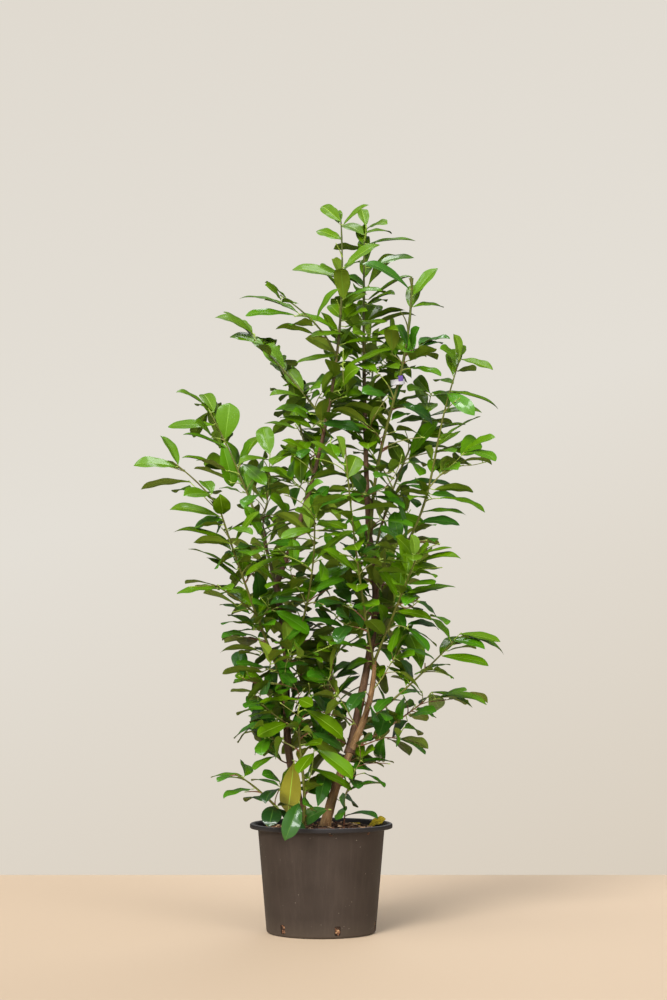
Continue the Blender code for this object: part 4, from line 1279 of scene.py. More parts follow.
def poses_seen(row, depth, slips):
    """Every pose in which a leaf would show as its row says."""
    across, down, tip_across, tip_down, wide, age = row
    pixel = (depth - LENS_AT[1]) / FOCAL_PIXELS
    usual = (NEW_LENGTH if age < NEW_AGE else USUAL_LENGTH) * RANDOM.uniform(0.94, 1.12)
    shown = pixel * math.hypot(tip_across - across, tip_down - down)
    length = max(shown * 1.01, usual)
    width = max(length * RANDOM.uniform(*SEEN_WIDTHS), abs(wide) * pixel)
    share = min(abs(wide) * pixel / width, 1)
    lean = math.sqrt(max(length ** 2 - shown ** 2, 0))
    signs = (-1,) if abs(wide) * pixel > END_ON * shown else (-1, 1)
    for slip in slips:
        foot = from_picture(across, down, depth + slip)
        for sign in signs:
            way = unit(from_picture(tip_across, tip_down, depth + slip + sign * lean) - foot)
            to_lens = square_to(LENS_AT - foot, way)
            edge = np.cross(way, to_lens)
            edge = edge if edge[2] > 0 else -edge
            face = to_lens * math.copysign(share, wide) + edge * math.sqrt(1 - share ** 2)
            yield foot, way, face, length, width


def set_seen_leaf(row, carrier, number):
    """Sets a measured leaf on its carrier, or at a depth."""
    if isinstance(carrier, str):
        slips = ON_SHOOT
        shoots = [s for s in SHOOTS if s.name == carrier or s.name.startswith(carrier + "_spur")]
        near = min(nearest_in_picture(s, row[:2])[::-1] + (k,) for k, s in enumerate(shoots))
        depth = float(shoots[near[2]].line[near[1]][1])
    else:
        slips = INSIDE_CROWN
        shoots = SHOOTS
        depth = carrier
    best = None
    for foot, way, face, length, width in poses_seen(row, depth, slips):
        points = spots_on(FEELERS, foot, way, face, length, width)
        score = min(ROOM.round(points), 0.03) + RANDOM.uniform(0, 0.004)
        score -= 1 if points[:, 1].min() < SEEN_FRONT_MOST else 0
        if best is None or score > best[0]:
            best = (score, foot, way, face, length, width, points)
    _, foot, way, face, length, width, points = best
    start = hold(foot, way, shoots, row[5], f"{carrier}_spur_{number}")
    ROOM.take(points)
    points = spots_on(BLADE, foot, way, face, length, width)
    SHOWN.extend((*spot, point[1]) for spot, point in zip(in_picture(points), points))
    mass = nearest_mass(foot + way * length * 0.5)
    LEAVES.append(leaf_from(foot, way, face, length, width, row[5], mass, 0.4))
    STALKS.append((start, unit(foot - start + way * 0.004), foot, way))


for carrier, rows in SEEN_LEAVES:
    for number, row in enumerate(rows):
        set_seen_leaf(row, carrier, number)
SHOWN = np.array(SHOWN)
for name, high, low in BARE_IN_SIGHT:
    line = shoot_called(name).line
    for spot, point in zip(in_picture(line), line):
        if high < spot[1] < low:
            SHOWN = np.concatenate((SHOWN, [(*spot, point[1])] * BARK_COUNTS))
print(len(LEAVES), "measured leaves set,", sum(shoot.twig for shoot in SHOOTS), "twigs by now")

# %% [markdown]
# ## The full middle of the crown
# Rules fill the middle of the crown and its back, and must leave the gaps at the sides open. Two short
# rows say how far the full middle reaches in the picture, to the left and to the right, at a few
# heights. Outside it, a rule may add only what hides behind a measured leaf or its shoot.

# %% What a rule may add
FULL_AT = (285, 310, 330, 350, 390, 430, 462, 482, 520, 560, 600, 640, 680, 720, 745, 760, 830)
FULL_LEFT = (340, 330, 322, 322, 326, 306, 296, 242, 246, 254, 262, 270, 268, 266, 274, 287, 266)
FULL_RIGHT = (374, 386, 398, 410, 420, 426, 426, 424, 418, 408, 408, 406, 402, 398, 380, 362, 336)
TOP_OF_FULL = 285
MOST_SPILL = 5
BEHIND = 3.0
FRONT_MOST = -0.400
BACK_MOST = 0.408
HIDE_ROUND = 36
SAME_SPOT = 3.5
IN_FRONT = 0.002

spots_shown = [tuple(spot[:2]) for spot in SHOWN]
spots_shown += [tuple(spot) for shoot in SHOOTS for spot in in_picture(shoot.line[::2])]
shown_tree = kdtree.KDTree(len(spots_shown))
for i, spot in enumerate(spots_shown):
    shown_tree.insert((*spot, 0), i)
shown_tree.balance()


def outside_full(spots):
    """How many pixels spots lie outside the full middle, less than nothing if inside."""
    left = np.interp(spots[:, 1], FULL_AT, FULL_LEFT) - spots[:, 0]
    right = spots[:, 0] - np.interp(spots[:, 1], FULL_AT, FULL_RIGHT)
    return np.maximum(np.maximum(left, right), TOP_OF_FULL - spots[:, 1])


def spill(points):
    """How many pixels points stick out, beyond the full middle and what is measured."""
    spots = in_picture(points)
    worst = -99.0
    for spot, out in zip(spots, outside_full(spots)):
        if out > 0:
            out = min(out, shown_tree.find((*spot, 0))[2] - BEHIND)
        worst = max(worst, out)
    return worst


def hides(points):
    """How many points of the measured leaves a new leaf would hide from the lens."""
    spots = in_picture(points)
    middle = spots[len(spots) // 2]
    near = SHOWN[np.abs(SHOWN[:, :2] - middle).max(1) < HIDE_ROUND]
    close = np.abs(spots[:, None] - near[None, :, :2]).max(-1) < SAME_SPOT
    return int((close & (points[:, None, 1] < near[None, :, 2] - IN_FRONT)).any(0).sum())


print(len(spots_shown), "spots of what is measured")

# %% [markdown]
# ## Side twigs by rule
# The rest of the crown is filled by rule. Fractal branching leaves holes and tangles, so each twig is
# sent to a free spot in a mass instead: of a few spots it takes the one with the most room. So the
# twigs share the space between them, as real ones do when they reach for light.

# %% Twigs sent to free spots
TRIES = 16
RULE_TWIG_THICK = 0.0023
TWIG_FRONT_MOST = -0.34
TWIG_BACK_MOST = 0.35
CROWDED = 2.3
CROWDED_BELOW = 0.75


def send_twigs(index):
    """Sends each of a mass's twigs to the freest of a few allowed spots inside it."""
    mass = MASSES[index]
    low, high = np.array(mass.low), np.array(mass.high)
    count = round(mass.twigs * (CROWDED if mass.low[2] < CROWDED_BELOW else 1.0))
    for number in range(count):
        best = None
        for _ in range(TRIES):
            around = square_to(np.array([RANDOM.uniform(-1, 1) for _ in range(3)]), high - low)
            share = (number + RANDOM.uniform(0.1, 0.9)) / count
            target = low + (high - low) * share + around * mass.spread * RANDOM.uniform(0.25, 0.80)
            if not TWIG_FRONT_MOST < target[1] < TWIG_BACK_MOST:
                continue
            parent, i, along = start_for(target, SHOOTS)
            line = twig_line(parent.line[i], along, target)
            room = np.linalg.norm(np.array(TWIG_ENDS) - target, axis=1).min()
            score = room - 0.3 * np.linalg.norm(target - parent.line[i])
            if spill(line) < 0 and (best is None or score > best[0]):
                best = (score, line, parent.radii[i])
        if best:
            thick = min(RULE_TWIG_THICK, best[2] * 0.75)
            add_twig(f"twig_{index}_{number}", best[1], mass.age, thick)


for index in range(len(MASSES)):
    send_twigs(index)
print(sum(shoot.twig for shoot in SHOOTS), "side twigs in all")

# %% [markdown]
# ## The other leaves, by rule
# Laurel leaves stand one by one in a spiral, each about 137 degrees round from the last, and then
# turn their faces to the light. Near the end of a shoot they are small and upright, further back
# they are large and hang out. On a shoot outside the full middle they only grow to the back, where
# the lens doesn't see them and the side views need them.

# %% Leaves by rule
GOLDEN = math.radians(137.5)
SPACING = 0.0172
THIN_AT = (0.62, 0.80, 1.02, 1.25, 1.55, 1.80)
THINNER = (-0.25, 0.32, 0.40, 0.10, 0.48, 1.10)
YOUNGER_AT = (0.75, 1.05, 1.40)
YOUNGER = (0, 0.08, 0.28)
LEAST_ROOM = 0.0050
LENGTHS = (0.094, 0.126)
WIDTHS = (0.36, 0.46)
POSES, POSES_AT_SIDE = 10, 16
OUTSIDE_COST, SPILL_COST, HIDE_COST = 0.06, 0.004, 0.02


def set_leaf(shoot, i, turn, share):
    """Sets one leaf at a point of a shoot. share runs from the foot of the leafy part to its tip."""
    along = unit(shoot.line[min(i + 1, len(shoot.line) - 1)] - shoot.line[max(i - 1, 0)])
    first = square_to(np.array((0.0, -1.0, 0.1)), along)
    second = np.cross(along, first)
    length = RANDOM.uniform(*LENGTHS) * (1 - 0.34 * max(0, share - 0.55) / 0.45)
    if share < 0.15:
        length *= 0.88
    width = length * RANDOM.uniform(*WIDTHS)
    opening = math.radians(72 - 40 * share ** 2)
    best = None
    at_side = outside_full(in_picture(shoot.line[i:i + 1]))[0] > 0
    for _ in range(POSES_AT_SIDE if at_side else POSES):
        around = math.pi + RANDOM.gauss(0, 0.5) if at_side else turn + RANDOM.gauss(0, 0.55)
        out = math.cos(around) * first + math.sin(around) * second
        out[2] *= 0.45 + 0.55 * abs(along[2])
        spread = opening + RANDOM.gauss(0, 0.16)
        way = math.cos(spread) * along + math.sin(spread) * unit(out)
        way[2] -= 0.08 + shoot.age * (1 - share) * RANDOM.uniform(0.05, 0.75)
        way = unit(way)
        wish = 0.55 * along + (0.95 - 0.3 * shoot.age) * UP + 0.45 * shoot.age * unit(out)
        wish = wish + np.array([RANDOM.gauss(0, 0.28) for _ in range(3)])
        face = square_to(wish, way)
        stalk = unit(0.6 * unit(out) + 0.4 * way + 0.15 * UP)
        foot = shoot.line[i] + stalk * (shoot.radii[i] + RANDOM.uniform(0.007, 0.011))
        points = spots_on(FEELERS, foot, way, face, length, width)
        outside = max(0.0, float(depth_in(points[3]).min()) - 1.02)
        over = max(0.0, spill(points))
        score = ROOM.round(points) - OUTSIDE_COST * outside - SPILL_COST * over - (over > MOST_SPILL)
        if score > (best[0] if best else LEAST_ROOM):
            score -= HIDE_COST * hides(spots_on(BLADE, foot, way, face, length, width))
        if points[:, 1].min() < FRONT_MOST or points[:, 1].max() > BACK_MOST:
            score -= 1
        if best is None or score > best[0]:
            best = (score, foot, way, face, points, stalk)
    score, foot, way, face, points, stalk = best
    if score < LEAST_ROOM:
        return False
    ROOM.take(points)
    mass = nearest_mass(foot + way * length * 0.5)
    age = shoot.age - 0.12 * share - float(np.interp(foot[2], YOUNGER_AT, YOUNGER))
    LEAVES.append(leaf_from(foot, way, face, length, width, age, mass))
    STALKS.append((shoot.line[i], stalk, foot, way))
    return True


def dress(shoot):
    """Sets leaves along the leafy part of a shoot, further apart where the crown is thinner."""
    run = run_along(shoot.line)
    bare = run[-1] * shoot.bare
    place = bare + RANDOM.uniform(0, SPACING * 0.5)
    turn = RANDOM.uniform(0, 6.28)
    count = 0
    while place < run[-1]:
        i = int(np.searchsorted(run, place))
        share = (place - bare) / max(run[-1] * (1 - shoot.bare), 0.01)
        count += set_leaf(shoot, min(i, len(run) - 2), turn, share)
        turn += GOLDEN + RANDOM.gauss(0, 0.2)
        place += SPACING * RANDOM.uniform(0.8, 1.2) * (1.1 - 0.35 * share)
        place += SPACING * float(np.interp(shoot.line[min(i, len(run) - 1)][2], THIN_AT, THINNER))
    return count + set_leaf(shoot, len(run) - 2, turn, 1.0)


total = sum(dress(shoot) for shoot in SHOOTS if shoot.bare < 1)
print(total, "leaves set by rule")

# %% [markdown]
# ## Twigs
# A twig is a thin tube, a little swollen at each leaf. Young ones are green and older ones turn
# reddish where the light falls on them; here a stretch goes from green through olive to red with its
# twig's age and towards the twig's foot. All of them together are one piece, because they are one kind
# of thing, and a plain colour for each stretch is enough at their size.

# %% Twigs
TWIG_LOOKS = (
    Finish("twig_green", paint(128, 148, 52), 0.42),
    Finish("twig_olive", paint(110, 112, 54), 0.48),
    Finish("twig_red", paint(104, 66, 48), 0.52),
)
SWELL, SWELL_STEP, SWELL_LONG = 0.22, 0.020, 0.0025
TWIG_COLLAR, TWIG_COLLAR_LONG = 0.6, 0.004
for finish in TWIG_LOOKS:
    finish.relief(finish.noise(finish.place((1, 1, 0.3)), 0.0016), 0.0002)

twigs = Skin()
for shoot in [shoot for shoot in SHOOTS if shoot.twig]:
    run = run_along(shoot.line)
    swell = 1 + SWELL * np.exp(-((run % SWELL_STEP - SWELL_STEP / 2) / SWELL_LONG) ** 2)
    collar = 1 + TWIG_COLLAR * np.exp(-run / TWIG_COLLAR_LONG)
    old = np.clip(np.round(shoot.age * 2.4 - run / max(run[-1], 0.01) * 0.9 + 0.2), 0, 2).astype(int)
    twigs.add(*tube(shoot.line, shoot.radii * swell * collar, 6, look=old))
twigs.make("twigs", [finish.material for finish in TWIG_LOOKS])
print("twigs of", twigs.triangles(), "triangles")

# %% [markdown]
# ## Foliage
# The leaves of each mass become one mesh, which stands for that mass's plain solid. Joining them
# keeps the scene light, and a mesh with real leaves, unlike a particle system, goes with the plant
# wherever its meshes go.


def foliage(index):
    """The leaves of one mass as one mesh."""
    own = [leaf for leaf in LEAVES if leaf.mass == index]
    mass = MASSES[index]
    skin = Skin()
    for leaf, points, places in zip(own, *bend_leaves(own)):
        faces = []
        rib = 2 * (AGES + 1) + leaf.sheet % AGES * len(RIB_GREENS) // AGES
        for (quads, ribs, ends), first in zip(LEAF_FACES, (0, AGES + 1)):
            faces.append((quads, np.where(ribs, rib, first + leaf.sheet)))
            faces.append((ends, first + leaf.sheet))
        skin.add(points, faces, places)
    obj = skin.make(mass.name.replace("leaves", "foliage"), LEAF_LOOKS)
    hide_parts(mass.name)
    return len(own), skin.triangles()


leaf_counts, triangles = zip(*(foliage(index) for index in range(len(MASSES))))
print(sum(leaf_counts), "leaves,", sum(triangles), "triangles, at most", max(triangles), "in a mass")

# %% [markdown]
# ## Leaf stalks
# Each leaf hangs on a short stalk, thicker where it leaves the shoot. A stalk is a small curved tube
# from the shoot to the leaf's foot. A pointed bud ends each twig, and is a tube that swells and closes.
# At their size a tube is as good as a sculpted bud.

# %% Stalks and buds
STALK_RADII = np.array((0.0017, 0.0013, 0.0012, 0.0010))
STALK_INTO_LEAF = 0.004
BUD_LONG = 0.007
BUD_SHARES = np.array((0, 0.25, 0.5, 0.8, 1.0))
BUD_SWELL = np.array((0.9, 1.5, 1.4, 0.7, 0.1))
LEAST_BUD = 0.0009

stalks = Skin()
for start, out, foot, way in STALKS:
    line = arched(start, (start + foot) / 2 + out * 0.002, foot + way * STALK_INTO_LEAF, len(STALK_RADII))
    stalks.add(*tube(line, STALK_RADII, 5))
for shoot in [shoot for shoot in SHOOTS if shoot.twig]:
    ahead = unit(shoot.line[-1] - shoot.line[-2])
    line = shoot.line[-1] + ahead * BUD_LONG * BUD_SHARES[:, None]
    stalks.add(*tube(line, max(float(shoot.radii[-1]), LEAST_BUD) * BUD_SWELL, 6))
STALK_FINISH = Finish("leaf_stalk", paint(138, 160, 70), 0.45)
STALK_FINISH.relief(STALK_FINISH.noise(STALK_FINISH.place((1, 1, 0.3)), 0.001), 0.0001)
stalks.make("leaf_stalks", [STALK_FINISH.material])
print("stalks of", stalks.triangles(), "triangles")

# %% [markdown]
# ## The pot
# A nursery pot is a thin bucket, pressed from recycled plastic. It has a rolled lip, a rounded foot
# and slots near the foot to let water out. It could be cut from a cylinder, but turning its profile
# gives the lip and foot their true round edges. Its colour is a warm dark grey under dust, with faint
# runs where water dried.

# %% The pot's profile
POT_HEIGHT = 0.272
RIM_RADIUS = 0.180
BODY_TOP_RADIUS = 0.161
BASE_RADIUS = 0.138
WALL = 0.0025
FLOOR = 0.003
UNDERSIDE = 0.0015
LIP_DEPTH = 0.012
LIP_SINK = 0.0015
BASE_ROUND = 0.008
SLOTS = 6
SLOT_TURN = math.radians(-42.7)


def arc(across, up, radius, first, last, steps):
    """Points on a round edge, from one angle to another in degrees."""
    angles = np.radians(np.linspace(first, last, steps + 1))
    return list(zip(across + radius * np.cos(angles), up + radius * np.sin(angles)))


def wall_radius(height):
    share = (height - BASE_ROUND) / (POT_HEIGHT - BASE_ROUND)
    return BASE_RADIUS + (BODY_TOP_RADIUS - BASE_RADIUS) * share


def pot_profile():
    """From the middle of the underside, up the outside, over the lip and down the inside."""
    lip_low = POT_HEIGHT - LIP_DEPTH
    under_lip = POT_HEIGHT - 0.0065
    profile = [(0, UNDERSIDE), (BASE_RADIUS - 0.030, UNDERSIDE), (BASE_RADIUS - 0.022, 0)]
    profile += arc(BASE_RADIUS - BASE_ROUND, BASE_ROUND, BASE_ROUND, -90, 0, 6)
    heights = np.linspace(BASE_ROUND + 0.006, under_lip - 0.006, 24)
    profile += [(wall_radius(h), h) for h in heights]
    profile += arc(wall_radius(under_lip) + 0.004, under_lip - 0.004, 0.004, 180, 90, 4)
    profile += arc(RIM_RADIUS - 0.0045, lip_low + 0.0015, 0.0012, 180, 270, 3)
    profile += arc(RIM_RADIUS - 0.0025, lip_low + 0.0028, 0.0025, -90, 0, 4)
    profile += arc(RIM_RADIUS - 0.0040, POT_HEIGHT - 0.0040, 0.0040, 0, 90, 6)
    profile += arc(BODY_TOP_RADIUS + 0.0030, POT_HEIGHT - LIP_SINK - 0.0035, 0.0035, 90, 180, 4)
    inner = np.linspace(POT_HEIGHT - 0.012, BASE_ROUND + 0.004, 10)
    profile += [(wall_radius(h) - WALL, h) for h in inner]
    profile += [(BASE_RADIUS - BASE_ROUND, FLOOR), (0, FLOOR)]
    return profile


POT_SEGMENTS = 192
pot_points, pot_quads, pot_caps = turned_on_axis(pot_profile(), POT_SEGMENTS)
print(len(pot_points), "points in the pot's skin")

# %% [markdown]
# ## Pot plastic
# Matt plastic that has stood outdoors is never one colour. A photo of one could be wrapped round it,
# but three noises do it at any distance: wide soft clouds of dust, narrow runs from top to bottom, and
# small pale specks. The height of a point decides the rest: the lip is darker, its top edge is painted
# paler as a highlight, and dust lies on the foot.

# %% The pot, finished
LIP_FROM = 0.2595
# Height above which the lip's top edge is painted paler, as a highlight.
LIP_HIGHLIGHT_FROM = 0.2708
DUST_TO = 0.05

plastic = Finish("pot_plastic", paint(80, 73, 66), 0.55)
plastic.shader.inputs["Specular IOR Level"].default_value = 0.35
spot = plastic.node("TexCoord").outputs["Object"]
tall = plastic.node("Mapping", {"Vector": spot, "Scale": (1, 1, 0.05)}).outputs[0]
clouds = plastic.noise(spot, 0.11, 3)
runs = plastic.noise(tall, 0.011, 4, 0.65)
specks = plastic.node("TexVoronoi", {"Vector": spot, "Scale": 95.0}).outputs["Distance"]
scatter = plastic.noise(spot, 0.05, 2)
height = plastic.node("SeparateXYZ", {"Vector": spot}).outputs["Z"]
colour = plastic.blend(plastic.span(clouds, 0.30, 0.72), paint(41, 33, 28), paint(54, 45, 39))
colour = plastic.blend(plastic.span(runs, 0.50, 0.75, 0, 0.35), colour, paint(66, 56, 49))
colour = plastic.blend(plastic.span(height, LIP_FROM, LIP_FROM + 0.0015), colour, paint(33, 31, 32))
# Painted highlight: the topmost edge of the lip is paler, as where light catches it.
painted_lip_highlight = plastic.span(height, LIP_HIGHLIGHT_FROM, LIP_HIGHLIGHT_FROM + 0.0011, 0, 0.6)
colour = plastic.blend(painted_lip_highlight, colour, paint(120, 118, 120))
dots = plastic.node("Math", {0: plastic.span(specks, 0.10, 0.05), 1: plastic.span(scatter, 0.50, 0.62)},
                    operation="MULTIPLY").outputs[0]
colour = plastic.blend(dots, colour, paint(168, 156, 140))
low_dust = plastic.span(height, DUST_TO, 0.0, 0, 0.35)
colour = plastic.blend(low_dust, colour, paint(82, 71, 60))
plastic.join(plastic.shader, "Base Color", colour)
plastic.join(plastic.shader, "Roughness", plastic.span(clouds, 0.3, 0.7, 0.50, 0.66))
plastic.relief(plastic.noise(spot, 0.004, 4), 0.0003, 0.5)
plastic.relief(runs, 0.0003, 0.4)

pot_skin = Skin()
pot_skin.add(pot_points, [(pot_quads, 0), (pot_caps, 0)])
pot = pot_skin.make("nursery_pot", [plastic.material])
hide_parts("pot")
print("pot finished")

# %% [markdown]
# ## Drain slots
# The slots go through the wall and show the medium behind it. They could be painted on as dark spots,
# but they are cut from the turned pot with a Boolean modifier, since a hole that is really there looks
# right from every side.

# %% Cutting the slots
SLOT_WIDTH = 0.015
SLOT_LOW = 0.008
SLOT_HIGH = 0.031
SLOT_ROUND = 0.003
SLOT_REACH = 0.012


def slot_block(number):
    """A block with rounded corners, turned to its place round the foot."""
    turn = SLOT_TURN + number * 2 * math.pi / SLOTS
    outline = []
    for x, z, first in ((1, 1, 0), (-1, 1, 90), (-1, -1, 180), (1, -1, 270)):
        middle_x = x * (SLOT_WIDTH / 2 - SLOT_ROUND)
        middle_z = (SLOT_LOW + SLOT_HIGH) / 2 + z * ((SLOT_HIGH - SLOT_LOW) / 2 - SLOT_ROUND)
        outline += arc(middle_x, middle_z, SLOT_ROUND, first, first + 90, 4)
    outline = np.array(outline)
    out = np.array((math.sin(turn), -math.cos(turn), 0))
    side = np.array((math.cos(turn), math.sin(turn), 0))
    flat = outline[:, :1] * side + outline[:, 1:] * UP
    points = np.concatenate([flat + out * (BASE_RADIUS + reach) for reach in (-SLOT_REACH, SLOT_REACH)])
    grid = np.arange(len(points)).reshape(2, -1)
    ends = [grid[0][::-1].tolist(), grid[1].tolist()]
    mesh = bpy.data.meshes.new(f"slot_block_{number}")
    mesh.from_pydata(points.tolist(), [], ring_faces(grid).tolist() + ends)
    block = new_object(mesh.name, mesh)
    block.hide_render = True
    block.hide_viewport = True
    block.display_type = "WIRE"
    return block


for number in range(SLOTS):
    cut = pot.modifiers.new(f"slot_{number}", "BOOLEAN")
    cut.operation = "DIFFERENCE"
    cut.solver = "EXACT"
    cut.object = slot_block(number)
pot.data.set_sharp_from_angle(angle=EDGE_CREASE)
print(SLOTS, "slots")

# %% [markdown]
# ## The growing medium
# The pot is filled to just under its lip with a dark, bark-based mix. Its surface is an uneven sheet
# with a few hundred bark chips and crumbs on it. The chips are small broken plates, laid by chance and
# half sunk, because a bump map can't give the ragged edge that shows against the lip.

# %% The medium and its chips
GROUND_AT_WALL = 0.257
MEDIUM_RINGS = 44
MEDIUM_SEGMENTS = 150
WALL_GAP = 0.0006


def ground_height(x, y):
    """Height of the medium's surface: a low heap with lumps."""
    reach = math.hypot(x, y)
    fall = min(max((reach - 0.070) / 0.085, 0), 1)
    base = GROUND - (GROUND - GROUND_AT_WALL) * fall * fall * (3 - 2 * fall)
    lumps = 0.0034 * noise.noise(Vector((x * 38, y * 38, 1.7)))
    lumps += 0.0016 * noise.noise(Vector((x * 120, y * 120, 5.2)))
    return base + lumps - 0.001


medium_radius = wall_radius(GROUND_AT_WALL) - WALL - WALL_GAP
profile = [(0, FLOOR + 0.0003), (BASE_RADIUS - BASE_ROUND - 0.004, FLOOR + 0.0003)]
profile += [(wall_radius(h) - WALL - WALL_GAP, h) for h in np.linspace(0.012, GROUND_AT_WALL - 0.002, 12)]
profile += [(medium_radius * (1 - i / MEDIUM_RINGS), GROUND) for i in range(MEDIUM_RINGS)] + [(0, GROUND)]
points, quads, caps = turned_on_axis(profile, MEDIUM_SEGMENTS)
for point in points:
    if point[2] >= GROUND:
        point[2] = ground_height(point[0], point[1])

soil = Finish("growing_medium", paint(52, 40, 33), 0.95)
spot = soil.node("TexCoord").outputs["Object"]
crumbs = soil.noise(spot, 0.004, 5, 0.7)
colour = soil.blend(soil.span(crumbs, 0.35, 0.62), paint(30, 22, 19), paint(70, 52, 40))
soil.join(soil.shader, "Base Color", colour)
soil.relief(crumbs, 0.002)
medium = Skin()
medium.add(points, [(quads, 0), (caps, 0)])

CHIP_COLOURS = (paint(58, 42, 34), paint(84, 58, 44), paint(112, 76, 54), paint(150, 116, 84),
                paint(44, 34, 30), paint(176, 146, 112))
CHIP_LOOKS = [Finish(f"bark_chip_{i}", colour, 0.88) for i, colour in enumerate(CHIP_COLOURS)]
for chip in CHIP_LOOKS:
    chip.relief(chip.noise(chip.place(), 0.002, 4), 0.0006)
CORNERS = 7


def add_chip(middle, lean, size, look):
    """A broken plate of bark, thin and ragged, with its flat side square to lean."""
    long, wide = size * RANDOM.uniform(0.8, 1.5), size * RANDOM.uniform(0.4, 0.8)
    thick = size * RANDOM.uniform(0.15, 0.4)
    step = 2 * math.pi / CORNERS
    angles = np.sort([(i + RANDOM.uniform(-0.3, 0.3)) * step for i in range(CORNERS)])
    ragged = np.array([RANDOM.uniform(0.75, 1.15) for _ in range(CORNERS)])
    shape = (np.cos(angles) * long * ragged, np.sin(angles) * wide * ragged, np.zeros(CORNERS))
    outline = np.stack(shape, -1)
    middles = ((0, 0, -thick / 2), (0, 0, thick * 0.62))
    plate = np.concatenate((outline + (0, 0, -thick / 2), outline * 0.86 + (0, 0, thick / 2), middles))
    turn = RANDOM.uniform(0, 6.28)
    ahead = square_to(np.array((math.cos(turn), math.sin(turn), math.sin(turn * 3))), lean)
    axes = np.stack((ahead, np.cross(lean, ahead), lean))
    grid = np.arange(2 * CORNERS).reshape(2, CORNERS)
    medium.add(plate @ axes + middle, [(ring_faces(grid), look), (end_caps(grid), look)], plate)


def lay_chip(x, y, size, look):
    """A chip that lies on the medium, half sunk."""
    lean = unit((RANDOM.gauss(0, 0.3), RANDOM.gauss(0, 0.3), 1.0))
    add_chip(np.array((x, y, ground_height(x, y) + size * 0.08)), lean, size, look)


def on_ground(across, down):
    """The point of the medium's surface that the picture shows at a pixel."""
    rays = [from_picture(across, down, depth) for depth in np.linspace(-0.16, 0.16, 161)]
    return min(rays, key=lambda point: abs(point[2] - ground_height(point[0], point[1])))


CHIPS = 1300
CRUMBS_IN_SLOT = 14
CHIP_SIZES = (0.0022, 0.003, 0.004, 0.005, 0.0075, 0.011)
CHIP_MIX = (1, 1, 2, 2, 3, 4, 5, 5, 6)
CRUMB_MIX = (2, 3, 3, 4)
SEEN_CHIPS = ((302, 821, 0.011, 3), (346, 824, 0.008, 6), (352, 826, 0.007, 6), (340, 827, 0.007, 4),
              (364, 826, 0.006, 6))

for _ in range(CHIPS):
    turn, reach = RANDOM.uniform(0, 6.28), medium_radius * 0.975 * math.sqrt(RANDOM.random())
    size, look = RANDOM.choice(CHIP_SIZES), RANDOM.choice(CHIP_MIX)
    lay_chip(reach * math.cos(turn), reach * math.sin(turn), size, look)
for across, down, size, look in SEEN_CHIPS:
    spot = on_ground(across, down)
    lay_chip(spot[0], spot[1], size, look)
for number in range(SLOTS):
    for _ in range(CRUMBS_IN_SLOT):
        turn = SLOT_TURN + number * 2 * math.pi / SLOTS + RANDOM.uniform(-0.045, 0.045)
        height = RANDOM.uniform(SLOT_LOW + 0.002, SLOT_HIGH - 0.002)
        out = np.array((math.sin(turn), -math.cos(turn), 0.0))
        middle = out * (wall_radius(height) - WALL - WALL_GAP) + UP * height
        size, look = RANDOM.choice(CHIP_SIZES[:3]), RANDOM.choice(CRUMB_MIX)
        add_chip(middle, unit(out + 0.3 * UP), size, look)
obj = medium.make("growing_medium_surface", [soil.material, *[chip.material for chip in CHIP_LOOKS]])
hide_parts("growing_medium")
print("medium of", medium.triangles(), "triangles")

# %% [markdown]
# ## What has happened to the plant
# A real shrub has been pruned, labelled and watered, and it drops its oldest leaves. Without such marks
# a model looks like a diagram. So five pruned stubs stand on the wood, a plain loop label with a purple
# tab hangs round the right leader, and four yellow leaves lie on the medium, one of them against the
# lip. The leaves come from the same rules as the living ones, so that they have the same shape.

# %% Stubs, a loop label and fallen leaves
STUBS = (
    ("stem_right", (337, 790), (341, 784), 0.0034),
    ("stem_middle", (352, 722), (358, 715), 0.0026),
    ("stem_right", (358, 739), (363, 734), 0.0022),
    ("bough_right_low", (424, 671), (425, 663), 0.0015),
    ("leader_right", (411, 286), (411, 277), 0.0029),
)


def limb_point(name, spot):
    """The middle of a limb where the picture shows it."""
    shoot = shoot_called(name)
    return shoot.line[nearest_in_picture(shoot, spot)[0]]


wood = Finish("cut_wood", paint(150, 116, 84), 0.8)
wood.relief(wood.noise(wood.place((1, 1, 0.3)), 0.001, 4), 0.0004)
stubs = Skin()
for name, root, tip, radius in STUBS:
    start = limb_point(name, root)
    end = from_picture(*tip, start[1] - 0.004)
    shares = np.linspace(0, 1, 8)[:, None]
    bulge = 1 + 0.25 * np.exp(-((shares[:, 0] - 0.3) / 0.2) ** 2)
    look = [0] * 7 + [1]
    stubs.add(*tube(start + (end - start) * shares, radius * bulge, 12, look=look, end="flat"))
stubs.make("pruned_stubs", [BARKS["bark_light"], wood.material])

LOOP_RADIUS = 0.017
STRIP_HIGH = 0.0135
STRIP_THICK = 0.0007


def strip(first, last, low, high, radius, steps):
    """A bent strip of plastic round the Z axis, with the angles in degrees."""
    points = []
    for angle in np.radians(np.linspace(first, last, steps + 1)):
        for out in (radius, radius + STRIP_THICK):
            points += [(out * math.cos(angle), out * math.sin(angle), z) for z in (low, high)]
    grid = np.arange(len(points)).reshape(steps + 1, 4)[:, [0, 1, 3, 2]]
    return np.array(points), [(ring_faces(grid), 0), (np.stack((grid[0][::-1], grid[-1])), 0)]


